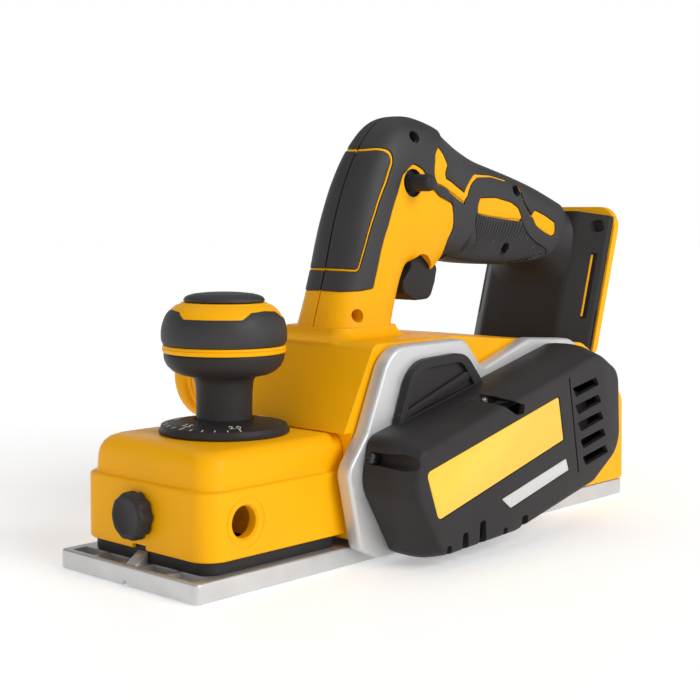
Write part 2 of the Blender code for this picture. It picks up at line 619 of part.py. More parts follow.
def handle_skin(name, first, last, spread, outer, inner, look=RUBBER, rows=18, columns=12):
    """Curved sleeve over part of the handle, between two lifts off its skin."""
    skin = bmesh.new()
    whole = spread >= math.pi
    angles = [spread * (2 * k / columns - 1) for k in range(columns + (0 if whole else 1))]
    stations = [first + (last - first) * i / rows for i in range(rows + 1)]
    sheets = [[[skin.verts.new(handle_point(u, a, lift)) for a in angles] for u in stations]
              for lift in (outer, inner)]
    wraps = len(angles) if whole else len(angles) - 1
    for i in range(rows):
        for k in range(wraps):
            j = (k + 1) % len(angles)
            for sheet in sheets:
                skin.faces.new((sheet[i][k], sheet[i][j], sheet[i + 1][j], sheet[i + 1][k]))
    top, under = sheets
    for i in (0, rows):
        for k in range(wraps):
            j = (k + 1) % len(angles)
            skin.faces.new((top[i][k], top[i][j], under[i][j], under[i][k]))
    if not whole:
        for k in (0, -1):
            for i in range(rows):
                skin.faces.new((top[i][k], top[i + 1][k], under[i + 1][k], under[i][k]))
    return finish(name, skin, (0, 0, 0), look)


def screw_profile(head, grow):
    """Handle screw from its head in the left half to its tip in the right half, or its way."""
    neck, tip = head + 3, 8.0
    return ((0, -40 if grow else head), (2.6 + grow, -40 if grow else head), (2.6 + grow, neck + grow),
            (1.4 + grow, neck + grow), (1.4 + grow, tip + grow), (0, tip + grow))


def handle_half(name, side):
    """One half of the handle shell, with its recesses, switch cavity and screw holes."""
    count = 14
    rings = []
    steps = 34
    for i in range(steps + 1):
        u = (len(HANDLE) - 1) * i / steps
        ring = []
        for k in range(count + 1):
            x, y, z = handle_point(u, side * math.pi * k / count)
            ring.append((x, side * max(abs(y), GAP / 2), z))
        rings.append(ring)
    half = loft(name, rings)
    grow = GAP
    first, last, spread = FRONT_RUBBER
    tool(half, handle_skin(name + "_front_recess", first - 0.03, last + 0.03, spread + 0.02, 4,
                           -RUBBER_DEPTH - grow))
    first, last = GRIP_RUBBER
    tool(half, handle_skin(name + "_grip_recess", first - 0.03, last + 0.03, math.pi, 4,
                           -RUBBER_DEPTH - grow))
    cavity = ((150, 96), (150, 139), (146, 139), (146, 172), (178, 172), (183, 139), (181, 96))
    tool(half, prism(name + "_cavity", cavity, -10.3, 10.3))
    mouth = ((147.5, 92), (149, 112), (152.5, 121), (157.5, 124.6), (163, 123.6), (168, 119.6), (171, 114),
             (172.5, 92))
    tool(half, prism(name + "_mouth", mouth, -30, 30))
    pin = ((0, -40), (6.3, -40), (6.3, -13.5), (PIN_RADIUS + GAP, -13.5), (PIN_RADIUS + GAP, 12), (0, 12))
    tool(half, lathe(name + "_pin_way", pin, (PIN_X, 0, PIN_Z), YELLOW, "y", 24))
    for k, (x, z, head) in enumerate(SCREW_PLACES):
        way = lathe(f"{name}_screw_way_{k}", screw_profile(head, GAP), (x, 0, z), YELLOW, "y", 16)
        tool(half, way)
    return half


def handle_parts():
    """Both handle halves, their soft covers and their screws."""
    handle_half("handle_left", -1)
    handle_half("handle_right", 1)
    first, last, spread = FRONT_RUBBER
    front = handle_skin("front_overmould", first, last, spread, 0.3, -RUBBER_DEPTH, columns=14, rows=22)
    grip = handle_skin("grip_overmould", *GRIP_RUBBER, math.pi, 0.3, -RUBBER_DEPTH, columns=24, rows=12)
    tool(front, rod("overmould_pin_way", 7.0, -40, -10, (PIN_X, 0, PIN_Z), RUBBER))
    for k, (x, z, head) in enumerate(SCREW_PLACES):
        if k:
            cover = front if k == 1 else grip
            tool(cover, rod(f"overmould_hole_{k}", 3.4, -40, head + 0.8, (x, 0, z), RUBBER, "y", 16))
        lathe(f"handle_screw_{k + 1}", screw_profile(head, 0), (x, 0, z), STEEL, "y", 16)


def trigger_parts():
    """Trigger, its switch and the lock-off pin."""
    outline = rounded(((151.4, 112, 2), (151.4, 107, 4), (160, 103, 6), (171, 103.4, 5), (174.4, 111, 4),
                       (176, 118, 3), (171.5, 122, 2), (171.5, 131, 1), (157, 131, 1), (157, 118, 2)), 3)
    bevel(prism("trigger", outline, -9.6, 9.6, BLACK, (165, 0, 116)), 1.6, 2, 50)
    box("trigger_switch", (150.8, 178.5), (-9.8, 9.8), (139.6, 150), BLACK)
    profile = ((0, -27), (PIN_RADIUS - 0.8, -27), (PIN_RADIUS, -26), (PIN_RADIUS, 3), (0, 3))
    lathe("lock_off_pin", profile, (PIN_X, 0, PIN_Z), BLACK, "y", 20)


# ---------------------------------------------------------------- battery mount

def leaning(outline, low, high):
    """Rings of a block that leans back: an outline of (x, y) carried from one height to another."""
    return [[(x + LEAN * (z - BRACKET_BASE), y, z) for x, y in outline] for z in (low, high)]


def battery_mount():
    """Black battery bracket, its yellow flange with rails, and the terminal block."""
    front, wide = 23.0, 36.0
    plan = rounded(((BRACKET_X, -front, 4), (FLANGE_X - 3.5, -wide, 3), (FLANGE_X - GAP, -wide, 0.3),
                    (FLANGE_X - GAP, wide, 0.3), (FLANGE_X - 3.5, wide, 3), (BRACKET_X, front, 4)), 3)
    bracket = loft("battery_bracket", leaning(plan, 60, 150), BLACK)
    top = ((200, 141), (245, 150), (300, 139), (300, 180), (200, 180))
    tool(bracket, prism("bracket_top_slope", top, -60, 60, BLACK))
    under = ((200, 40), (200, 82.5), (250, 80.9), (268, 73.2), (300, 58), (300, 40))
    tool(bracket, prism("bracket_underside", under, -60, 60, BLACK))
    bevel(bracket, 1.5, 2, 50)
    rings = []
    for depth in (0, 4.2):
        face = rounded(((-37, 73.0, 3), (37, 73.0, 3), (37, 147, 12), (-37, 147, 12)), 4)
        rings.append([(FLANGE_X + depth + LEAN * (z - BRACKET_BASE), y, z) for y, z in face])
    flange = loft("battery_flange", rings, YELLOW)
    for side in (-1, 1):
        y = sorted((side * 22, side * 29))
        foot, lip = FLANGE_X + 3.5, FLANGE_X + 9.5
        web = [(foot, y[0]), (lip, y[0]), (lip, y[1]), (foot, y[1])]
        tool(flange, loft(f"battery_rail_{side}", leaning(web, 78, 128), YELLOW), "UNION")
        y = sorted((side * 18.5, side * 29))
        lip_plan = [(lip - 2.4, y[0]), (lip, y[0]), (lip, y[1]), (lip - 2.4, y[1])]
        tool(flange, loft(f"battery_lip_{side}", leaning(lip_plan, 78, 128), YELLOW), "UNION")
    block = [(FLANGE_X + 4.2 + GAP, -13), (FLANGE_X + 11, -13), (FLANGE_X + 11, 13), (FLANGE_X + 4.2 + GAP, 13)]
    terminal = loft("terminal_block", leaning(block, 88, 112), BLACK)
    for k in range(4):
        y = -9 + 6 * k
        slot = [(FLANGE_X + 8, y - 1), (FLANGE_X + 14, y - 1), (FLANGE_X + 14, y + 1), (FLANGE_X + 8, y + 1)]
        tool(terminal, loft(f"terminal_slot_{k}", leaning(slot, 80, 109), BLACK))
        blade = [(FLANGE_X + 8.3, y - 0.5), (FLANGE_X + 10.8, y - 0.5), (FLANGE_X + 10.8, y + 0.5),
                 (FLANGE_X + 8.3, y + 0.5)]
        loft(f"terminal_blade_{k + 1}", leaning(blade, 90, 108.5), BRASS)


# ---------------------------------------------------------------- parking foot

def parking_foot():
    """Small prop at the heel that swings down to keep the cutter off the work."""
    centre = (FOOT_X, FOOT_Y, FOOT_Z)
    corners = ((FOOT_X + 4, FOOT_Z - 4.5, 2), (FOOT_X + 4, FOOT_Z + 4.5, 3), (FOOT_X - 4, FOOT_Z + 4.5, 3),
               (FOOT_X - 16, FOOT_Z - 4.5, 2), (FOOT_X - 16, 1.2, 1.5), (FOOT_X - 9, 1.2, 2))
    foot = prism("parking_foot", rounded(corners, 3), FOOT_Y - 4.6, FOOT_Y + 4.6, BLACK, centre)
    tool(foot, rod("foot_eye", 2.4, -20, 20, centre, BLACK, "y", 16))
    rod("foot_pin", 2.0, -8.6, 15.5, centre, STEEL, "y", 16)


def build():
    """Model the whole planer."""
    front_shoe()
    shoe_collar()
    nose_housing()
    clamp_screw()
    rear_shoe()
    knob_parts()
    main_housing()
    post_collar()
    dust_port()
    side_frame()
    belt_cover()
    cover_screws()
    drive_belt()
    cutter_group()
    motor_rotor_group()
    fixed_drive_parts()
    handle_parts()
    trigger_parts()
    battery_mount()
    parking_foot()


for leftover in list(bpy.data.objects):
    bpy.data.objects.remove(leftover)
build()
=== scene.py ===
"""Looks of a cordless hand planer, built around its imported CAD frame.

Lengths are in millimetres until a mesh is made. A place is (x, y, z): x runs back from the front
edge of the sole, y runs to the user's right from the centre line, and z runs up from the sole.
"""
import math

import bmesh
import bpy
import numpy as np
from mathutils import Matrix, Vector
from mathutils.geometry import delaunay_2d_cdt


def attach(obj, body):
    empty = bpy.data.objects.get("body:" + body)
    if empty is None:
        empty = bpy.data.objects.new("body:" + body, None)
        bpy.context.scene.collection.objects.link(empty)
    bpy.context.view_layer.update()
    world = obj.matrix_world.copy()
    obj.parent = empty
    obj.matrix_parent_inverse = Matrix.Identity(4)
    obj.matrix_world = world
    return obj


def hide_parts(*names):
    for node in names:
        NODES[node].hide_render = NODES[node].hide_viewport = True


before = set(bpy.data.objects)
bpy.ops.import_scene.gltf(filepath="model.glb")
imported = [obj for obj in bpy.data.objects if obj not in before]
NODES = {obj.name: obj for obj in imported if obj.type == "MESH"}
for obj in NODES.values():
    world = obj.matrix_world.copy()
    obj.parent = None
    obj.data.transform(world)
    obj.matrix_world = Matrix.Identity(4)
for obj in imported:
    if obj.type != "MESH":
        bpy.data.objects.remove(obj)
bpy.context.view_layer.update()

MM = 0.001
HALF_LENGTH = 146.0
MIDDLE = -5.0


def at(x, y, z):
    """Row-frame position in metres of a place on the planer."""
    return Vector(((x - HALF_LENGTH) * MM, (y - MIDDLE) * MM, z * MM))


# ---------------------------------------------------------------- surfaces

class Nodes:
    """Short way to add and join shader nodes in one material."""

    def __init__(self, name):
        self.material = bpy.data.materials.new(name)
        self.material.use_nodes = True
        self.tree = self.material.node_tree
        self.shader = self.tree.nodes["Principled BSDF"]
        self.where = self.tree.nodes.new("ShaderNodeTexCoord").outputs["Object"]

    def add(self, kind, inputs=(), **settings):
        node = self.tree.nodes.new("ShaderNode" + kind)
        for key, value in settings.items():
            setattr(node, key, value)
        for key, value in dict(inputs).items():
            self.join(node.inputs[key], value)
        return node

    def join(self, socket, value):
        if isinstance(value, bpy.types.NodeSocket):
            self.tree.links.new(value, socket)
        else:
            socket.default_value = value

    def noise(self, scale, detail=4.0, stretch=(1, 1, 1)):
        mapping = self.add("Mapping", {"Vector": self.where, "Scale": stretch})
        node = self.add("TexNoise", {"Vector": mapping.outputs[0], "Scale": scale, "Detail": detail})
        return node.outputs["Fac"]

    def spread(self, value, low, high, start=0.3, end=0.7):
        node = self.add("MapRange", {"Value": value, "From Min": start, "From Max": end,
                                     "To Min": low, "To Max": high})
        return node.outputs[0]

    def blend(self, share, first, second):
        node = self.add("Mix", {0: share, 6: (*first, 1.0), 7: (*second, 1.0)}, data_type="RGBA")
        return node.outputs[2]

    def bump(self, height, strength, distance, normal=None):
        inputs = {"Height": height, "Strength": strength, "Distance": distance * MM}
        if normal is not None:
            inputs["Normal"] = normal
        return self.add("Bump", inputs).outputs[0]

    def set(self, **values):
        for key, value in values.items():
            self.join(self.shader.inputs[key.replace("_", " ")], value)
        return self.material


def plastic(name, colour, shade, roughness, grain=2600.0, relief=0.035):
    """Moulded plastic: fine spark-eroded grain, slow colour drift and faint rub marks."""
    n = Nodes(name)
    drift = n.noise(18.0, 5.0)
    rub = n.noise(95.0, 6.0, (1, 1, 0.25))
    grainy = n.noise(grain, 2.0)
    waves = n.noise(55.0, 2.0)
    fine = n.bump(grainy, 0.5, relief)
    tone = n.blend(n.spread(drift, 0.0, 1.0), colour, shade)
    rough = n.spread(rub, roughness - 0.05, roughness + 0.07)
    return n.set(Base_Color=tone, Roughness=rough, Specular_IOR_Level=0.15,
                 Normal=n.bump(waves, 0.25, 0.06, fine))


def rubber(name, colour, shade):
    """Soft overmould: matt, with a pebbled skin and a little dust in the pores."""
    n = Nodes(name)
    cells = n.add("TexVoronoi", {"Vector": n.where, "Scale": 1500.0}).outputs["Distance"]
    dust = n.noise(60.0, 6.0)
    tone = n.blend(n.spread(dust, 0.0, 1.0, 0.35, 0.75), colour, shade)
    return n.set(Base_Color=tone, Roughness=n.spread(dust, 0.5, 0.62), Specular_IOR_Level=0.45,
                 Normal=n.bump(cells, 0.35, 0.05))


def cast_metal(name, colour, shade, roughness, metallic):
    """Sand-textured silver casting with a soft bead-blasted grain."""
    n = Nodes(name)
    coarse = n.noise(420.0, 5.0)
    fine = n.noise(2300.0, 2.0)
    blotch = n.noise(24.0, 4.0)
    first = n.bump(fine, 0.4, 0.05)
    tone = n.blend(n.spread(blotch, 0.0, 1.0), colour, shade)
    rough = n.spread(coarse, roughness - 0.06, roughness + 0.1)
    return n.set(Base_Color=tone, Metallic=metallic, Roughness=rough,
                 Normal=n.bump(coarse, 0.35, 0.08, first))


def machined(name, colour, shade, roughness, stretch):
    """Ground metal with fine tool marks along one direction."""
    n = Nodes(name)
    marks = n.noise(900.0, 3.0, stretch)
    smear = n.noise(40.0, 5.0)
    tone = n.blend(n.spread(smear, 0.0, 1.0), colour, shade)
    rough = n.spread(marks, roughness - 0.06, roughness + 0.08)
    return n.set(Base_Color=tone, Metallic=0.75, Roughness=rough, Normal=n.bump(marks, 0.3, 0.03))


def wound_copper(name):
    """Enamelled copper wire, laid in turns."""
    n = Nodes(name)
    turns = n.add("TexWave", {"Vector": n.where, "Scale": 380.0, "Distortion": 1.2}).outputs["Fac"]
    tone = n.blend(turns, (0.34, 0.12, 0.04), (0.72, 0.33, 0.13))
    return n.set(Base_Color=tone, Metallic=1.0, Roughness=0.36, Normal=n.bump(turns, 0.8, 0.25))


def circuit(name):
    """Green board with lighter tracks."""
    n = Nodes(name)
    cells = n.add("TexBrick", {"Vector": n.where, "Scale": 70.0, "Mortar Size": 0.05}).outputs["Fac"]
    tone = n.blend(cells, (0.015, 0.12, 0.04), (0.10, 0.32, 0.12))
    rough = n.spread(n.noise(200.0), 0.35, 0.5)
    return n.set(Base_Color=tone, Roughness=rough, Normal=n.bump(cells, 0.5, 0.1))


YELLOW = plastic("moulded_yellow", (0.97, 0.455, 0.0), (0.92, 0.42, 0.0), 0.42)
BLACK = plastic("moulded_black", (0.027, 0.025, 0.025), (0.034, 0.031, 0.031), 0.45, relief=0.05)
SOFT = rubber("soft_black", (0.024, 0.022, 0.023), (0.032, 0.030, 0.031))
CAST = cast_metal("cast_silver", (0.60, 0.60, 0.60), (0.68, 0.68, 0.68), 0.45, 0.55)
SOLE = machined("planed_sole", (0.55, 0.55, 0.55), (0.66, 0.66, 0.66), 0.40, (0.04, 1, 1))
STEEL = machined("turned_steel", (0.46, 0.46, 0.48), (0.60, 0.60, 0.62), 0.30, (1, 0.05, 1))
COPPER = wound_copper("copper_turns")
BRASS = machined("contact_brass", (0.72, 0.50, 0.18), (0.83, 0.62, 0.26), 0.34, (1, 1, 0.1))
BOARD = circuit("board_green")
BLACKENED = machined("blackened_steel", (0.05, 0.05, 0.055), (0.09, 0.09, 0.095), 0.36, (1, 0.05, 1))
PRINT = plastic("dial_print", (0.80, 0.78, 0.66), (0.72, 0.70, 0.58), 0.5)
LABEL = plastic("plate_yellow", (0.96, 0.62, 0.085), (0.93, 0.58, 0.07), 0.36)
PALE = plastic("strip_pale", (0.66, 0.66, 0.64), (0.60, 0.60, 0.58), 0.4)

SLOT_LOOKS = {"yellow_plastic": YELLOW, "black_plastic": BLACK, "soft_rubber": SOFT,
              "cast_aluminium": CAST, "steel": STEEL, "copper_wire": COPPER,
              "brass_contact": BRASS, "board_green": BOARD}
NODE_LOOKS = {"handle_screw_1": BLACKENED, "handle_screw_2": BLACKENED, "handle_screw_3": BLACKENED,
              "handle_screw_4": BLACKENED}


def dress_cad_nodes():
    """Give every carried-over node the finished surface of its material slot."""
    for name, node in NODES.items():
        for entry in node.material_slots:
            known = [look for slot, look in SLOT_LOOKS.items() if slot in entry.material.name]
            entry.material = NODE_LOOKS.get(name) or (known or [BLACK])[0]


# ---------------------------------------------------------------- shapes

def through(a, b, c, d, t):
    """Place on a smooth curve through four values, a share t of the way from the second to the third."""
    return b + 0.5 * t * (c - a + t * (2 * a - 5 * b + 4 * c - d + t * (3 * b - a - 3 * c + d)))


def rounded(corners, steps=6):
    """Closed outline through (a, b, radius) corners, with an arc at each corner."""
    outline = []
    for i, (a, b, radius) in enumerate(corners):
        here = Vector((a, b))
        before = (Vector(corners[i - 1][:2]) - here).normalized()
        after = (Vector(corners[(i + 1) % len(corners)][:2]) - here).normalized()
        half = before.angle(after) / 2
        centre = here + (before + after).normalized() * (radius / math.sin(half))
        start = here + before * (radius / math.tan(half)) - centre
        end = here + after * (radius / math.tan(half)) - centre
        turn = start.angle_signed(end)
        for k in range(steps + 1):
            angle = -turn * k / steps
            cos, sin = math.cos(angle), math.sin(angle)
            outline.append((centre.x + start.x * cos - start.y * sin,
                            centre.y + start.x * sin + start.y * cos))
    return outline


def corners_of(x, y):
    """The four corners of a rectangle between pairs of limits."""
    return (x[0], y[0]), (x[1], y[0]), (x[1], y[1]), (x[0], y[1])


def oblong(x, y, radii, steps=6):
    """Rectangular outline between pairs of limits, with one radius for all corners or one for each."""
    radii = radii if isinstance(radii, tuple) else (radii,) * 4
    return rounded([(*corner, radius) for corner, radius in zip(corners_of(x, y), radii)], steps)


def finish(name, shape, look):
    """Turn a mesh in planer millimetres into an object in the row frame."""
    bmesh.ops.recalc_face_normals(shape, faces=shape.faces)
    for vertex in shape.verts:
        vertex.co = at(*vertex.co)
    mesh = bpy.data.meshes.new(name)
    shape.to_mesh(mesh)
    shape.free()
    mesh.materials.append(look)
    mesh.shade_smooth()
    mesh.set_sharp_from_angle(angle=math.radians(38))
    piece = bpy.data.objects.new(name, mesh)
    bpy.context.collection.objects.link(piece)
    return piece


def loft(name, rings, look=YELLOW):
    """Close a skin over rings that all have the same number of points."""
    shape = bmesh.new()
    rows = [[shape.verts.new(point) for point in ring] for ring in rings]
    count = len(rows[0])
    for low, high in zip(rows, rows[1:]):
        for i in range(count):
            j = (i + 1) % count
            shape.faces.new((low[i], low[j], high[j], high[i]))
    shape.faces.new(rows[0])
    shape.faces.new(rows[-1])
    return finish(name, shape, look)


def prism(name, outline, low, high, look=YELLOW, along="y"):
    """Extrude an outline along x, y or z between two planes."""
    def point(a, b, c):
        return {"x": (c, a, b), "y": (a, c, b), "z": (a, b, c)}[along]
    return loft(name, [[point(a, b, c) for a, b in outline] for c in (low, high)], look)


def box(name, x, y, z, look=YELLOW):
    """A block between pairs of limits, used for cutting."""
    return prism(name, corners_of(x, y), *z, look, "z")


def lathe(name, profile, centre, look=BLACK, axis="y", steps=96):
    """Spin a closed profile of (radius, distance along the axis) about an axis through centre."""
    shape = bmesh.new()
    columns = []
    for radius, along in profile:
        ring = []
        for k in range(1 if radius == 0 else steps):
            angle = 2 * math.pi * k / steps
            a, b = radius * math.cos(angle), radius * math.sin(angle)
            offset = {"x": (along, a, b), "y": (a, along, b), "z": (a, b, along)}[axis]
            ring.append(shape.verts.new([c + d for c, d in zip(centre, offset)]))
        columns.append(ring)
    for one, two in zip(columns, columns[1:] + columns[:1]):
        for k in range(steps):
            near = (one[k % len(one)], one[(k + 1) % len(one)])
            far = (two[(k + 1) % len(two)], two[k % len(two)])
            corners = list(dict.fromkeys(near + far))
            if len(corners) > 2:
                shape.faces.new(corners)
    return finish(name, shape, look)


def rod(name, radius, low, high, centre, axis="y", steps=48):
    """A plain round bar, used for cutting and joining."""
    return lathe(name, ((0, low), (radius, low), (radius, high), (0, high)), centre, axis=axis, steps=steps)


def bake(piece):
    """Replace a piece's mesh with the result of its modifiers."""
    graph = bpy.context.evaluated_depsgraph_get()
    mesh = bpy.data.meshes.new_from_object(piece.evaluated_get(graph))
    old = piece.data
    piece.modifiers.clear()
    piece.data = mesh
    bpy.data.meshes.remove(old)
    return piece


def carve(piece, *cutters, operation="DIFFERENCE"):
    """Cut pieces out of a piece, or join them to it, and drop them.

    The new faces take the piece's own look, so cutters need none.
    """
    for cutter in cutters:
        change = piece.modifiers.new("carve", "BOOLEAN")
        change.operation = operation
        change.solver = "EXACT"
        change.object = cutter
    bake(piece)
    for cutter in cutters:
        bpy.data.objects.remove(cutter)
    piece.data.set_sharp_from_angle(angle=math.radians(38))
    return piece


def soften(piece, width, segments=3, angle=35):
    """Round a piece's sharp edges."""
    change = piece.modifiers.new("edges", "BEVEL")
    change.width = width * MM
    change.segments = segments
    change.limit_method = "ANGLE"
    change.angle_limit = math.radians(angle)
    change.harden_normals = False
    bake(piece)
    piece.data.shade_smooth()
    piece.data.set_sharp_from_angle(angle=math.radians(50))
    return piece


def place_piece(piece, body, slot, *nodes):
    """Let a piece ride on its body and stand for its CAD nodes; its slot is not used."""
    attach(piece, body)
    if nodes:
        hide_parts(*nodes)
    return piece


def join(name, pieces):
    """Join pieces into one object."""
    shape = bmesh.new()
    for piece in pieces:
        shape.from_mesh(piece.data)
    first = pieces[0]
    materials = [entry.material for entry in first.material_slots]
    mesh = bpy.data.meshes.new(name)
    shape.to_mesh(mesh)
    shape.free()
    for look in materials:
        mesh.materials.append(look)
    for piece in pieces:
        bpy.data.objects.remove(piece)
    joined = bpy.data.objects.new(name, mesh)
    bpy.context.collection.objects.link(joined)
    return joined


# ---------------------------------------------------------------- handle skin

# Each handle station is its front or top point, its rear or bottom point, and its half width.
HANDLE = (
    ((101.5, 89.6), (141.0, 89.6), 18.0),
    ((104.0, 98.0), (143.5, 97.0), 17.0),
    ((107.0, 107.4), (146.5, 106.0), 16.5),
    ((110.4, 118.3), (149.5, 114.0), 16.5),
    ((113.4, 130.0), (153.0, 119.0), 16.5),
    ((117.4, 143.0), (157.5, 119.5), 16.5),
    ((123.8, 158.5), (162.5, 116.5), 16.5),
    ((132.6, 172.5), (167.0, 114.0), 16.5),
    ((144.0, 183.0), (171.5, 113.8), 16.5),
    ((157.0, 186.0), (175.5, 117.0), 16.5),
    ((170.0, 183.4), (179.5, 120.6), 16.5),
    ((180.5, 178.2), (185.0, 121.2), 16.0),
    ((190.0, 173.6), (192.5, 120.3), 15.5),
    ((203.5, 168.6), (201.0, 119.5), 15.5),
    ((219.4, 165.0), (214.0, 118.8), 15.5),
    ((235.5, 161.4), (229.0, 118.3), 16.0),
    ((252.8, 156.6), (244.5, 117.8), 17.5),
    ((269.0, 150.4), (259.3, 117.0), 20.0),
)
SQUARENESS = 0.70
# The flat map of the skin: millimetres for a station and for a degree, and the spacing of its points.
PER_STATION = 15.0
PER_DEGREE = 0.4
LINE_STEP = 0.7
# Heights over the listed surface, and half widths on the flat map.
RUBBER_LIFT = 0.3
CORE_LIFT = -1.0
SKIN_BASE = -1.4
SEAM = 0.3
SEAM_LIFT = 0.9
GAP_HALF = 0.14
EDGE = 0.42
EDGE_DROP = 0.22
GROOVE_HALF = 0.4
GROOVE_DEPTH = 0.65
REAR_LINE_HALF = 0.42

# Outlines on one side of the handle: (station, degrees round from the front or top, corner radius).
RUBBER_OUTLINE = (
    (2.17, -20, 1), (2.13, 28, 20), (2.19, 62, 20), (2.3, 82.8, 1.6), (3.6, 82.3, 20), (5.29, 80, 20),
    (6.57, 74.1, 14), (7.2, 69.0, 5), (7.92, 69.8, 5), (8.42, 78.4, 4), (8.55, 88.2, 2), (9.42, 91.5, 20),
    (10.33, 94.0, 6), (10.78, 102.0, 6), (10.45, 111.0, 12), (9.75, 127, 10), (9.5, 141, 8), (9.6, 200, 6),
    (17.3, 200, 1), (17.3, -20, 1),
)
FRONT_LINE = (
    (2.92, -30, 1), (2.94, 53.0, 3.2), (4.0, 57.0, 30), (5.28, 58.3, 30), (6.42, 57.3, 14), (7.28, 51.0, 4.5),
    (7.2, 38, 14), (6.86, 10, 20), (6.84, -30, 1),
)
FRONT_PANEL = (
    (3.01, -30, 1), (3.03, 49.9, 2.2), (4.0, 53.8, 30), (5.28, 55.1, 30), (6.37, 54.1, 14), (7.12, 49.0, 3.4),
    (7.1, 38, 14), (6.77, 10, 20), (6.75, -30, 1),
)
ZIGZAG = (
    (9.72, 58.5, 0.5), (9.93, 63.4, 0.8), (10.18, 74.1, 0.8), (9.76, 84.0, 0.8), (11.66, 85.6, 0.7),
    (12.1, 74.4, 3), (12.6, 58.0, 4), (13.5, 46.6, 8), (14.36, 43.6, 0.7), (14.34, 47.8, 0.5),
    (13.55, 50.2, 8), (12.74, 61.4, 4), (12.26, 75.4, 3), (11.93, 87.2, 2), (11.62, 90.3, 1.2),
    (10.12, 89.6, 6), (9.18, 87.2, 1.5), (9.0, 83.0, 1), (9.3, 69.0, 6),
)
UPPER_WINDOW = (
    (12.63, 91.6, 0.5), (12.85, 83.0, 1.4), (13.72, 77.4, 10), (14.48, 77.6, 4), (14.84, 81.4, 3),
    (15.09, 90.0, 0.5), (13.91, 90.7, 20),
)
REAR_WINDOW = (
    (15.49, 85.6, 0.6), (15.63, 78.4, 0.8), (16.08, 80.6, 8), (16.48, 84.4, 0.8), (16.57, 92.6, 1.4),
    (16.41, 95.7, 1), (15.68, 90.0, 3),
)
REAR_LINE = ((14.96, 47.0), (15.0, 58.2), (15.08, 70.0), (15.28, 79.8), (15.51, 86.4))
FRONT_GROOVE = ((12.61, 92.1), (12.5, 97.5), (12.58, 104.0), (12.7, 111.0), (12.75, 121.9), (12.6, 132.0),
                (12.2, 142.0), (11.4, 148.5), (10.6, 151.5), (10.0, 153.0))
REAR_GROOVE = ((15.09, 90.2), (15.23, 94.3), (15.5, 101.0), (15.85, 107.5), (16.25, 113.4), (16.42, 120.5),
               (16.36, 130.0), (16.1, 142.0), (15.6, 155.0), (15.2, 166.0))
RIB_FIRST = 12.2
RIB_LAST = 16.6
RIB_PITCH = 0.145
# Shares of a rib's pitch and the heights there.
RIB_SHARES = (0, 0.26, 0.5, 0.74, 1)
RIB_HEIGHTS = (-0.85, 0.02, 0.14, 0.02, -0.85)
HEAD_SEAM = ((10.55, -20), (10.5, 0), (10.4, 20), (10.12, 44.0), (9.8, 57.0), (9.47, 68.9), (9.19, 79.0),
             (9.1, 86.0))


def station(u):
    """Handle station between the listed ones: outer point, inner point and half width."""
    i = min(int(u), len(HANDLE) - 2)
    t = u - i
    picks = [HANDLE[min(max(i + k, 0), len(HANDLE) - 1)] for k in (-1, 0, 1, 2)]
    rows = [(*outer, *inner, width) for outer, inner, width in picks]
    return [through(*values, t) for values in zip(*rows)]


def swell(value):
    """Push a cosine or sine outwards, so that a round section turns squarer."""
    return math.copysign(abs(value) ** SQUARENESS, value)


def handle_point(u, angle, lift=0.0):
    """Point on the handle's skin: angle 0 is its front or top, and a half turn its underside."""
    ox, oz, ix, iz, width = station(u)
    half = math.hypot(ox - ix, oz - iz) / 2
    along = swell(math.cos(angle)) * (half + lift) / half / 2
    return ((ox + ix) / 2 + (ox - ix) * along, swell(math.sin(angle)) * (width + lift),
            (oz + iz) / 2 + (oz - iz) * along)


def metric(u, degrees):
    """Station and degrees as flat millimetres along and round the handle."""
    return Vector((u * PER_STATION, degrees * PER_DEGREE))


def resample(points, step, closed):
    """Points about one step apart along a flat line."""
    points = [Vector(p) for p in points]
    if closed:
        points.append(points[0])
    line = []
    for a, b in zip(points, points[1:]):
        count = max(1, round((b - a).length / step))
        line += [a.lerp(b, k / count) for k in range(count)]
    return line if closed else line + [points[-1]]


def flat_loop(corners):
    """A listed outline as an evenly spaced flat loop with rounded corners."""
    return resample(rounded([(*metric(u, a), r) for u, a, r in corners], 5), LINE_STEP, True)


def flat_line(points):
    """A listed line as a smooth, evenly spaced flat line."""
    flat = [metric(u, a) for u, a in points]
    smooth = []
    for i in range(len(flat) - 1):
        four = [flat[min(max(i + k, 0), len(flat) - 1)] for k in (-1, 0, 1, 2)]
        smooth += [through(*four, k / 6) for k in range(6)]
    return resample(smooth + [flat[-1]], LINE_STEP, False)


def offset(line, distance, closed):
    """A flat line moved sideways by a distance."""
    moved = []
    count = len(line)
    for i, point in enumerate(line):
        ahead = line[(i + 1) % count] if closed else line[min(i + 1, count - 1)]
        behind = line[i - 1] if closed else line[max(i - 1, 0)]
        along = (ahead - behind).normalized()
        moved.append(point + Vector((-along.y, along.x)) * distance)
    return moved


def gaps_to(points, lines):
    """Distance from each flat point to the nearest of some flat lines of (line, closed)."""
    best = np.full(len(points), 1e9)
    for line, closed in lines:
        ends = np.array([tuple(p) for p in line])
        starts, stops = (ends, np.roll(ends, -1, 0)) if closed else (ends[:-1], ends[1:])
        for a, b in zip(starts, stops):
            run = b - a
            t = np.clip(((points - a) @ run) / max(run @ run, 1e-12), 0, 1)
            best = np.minimum(best, np.hypot(*(points - a - t[:, None] * run).T))
    return best


def inside(points, loop):
    """Which flat points lie inside a flat loop."""
    ends = np.array([tuple(p) for p in loop])
    result = np.zeros(len(points), bool)
    for (ax, ay), (bx, by) in zip(ends, np.roll(ends, -1, 0)):
        crosses = (ay > points[:, 1]) != (by > points[:, 1])
        at_x = ax + (points[:, 1] - ay) / (by - ay if by != ay else 1e-12) * (bx - ax)
        result ^= crosses & (points[:, 0] < at_x)
    return result


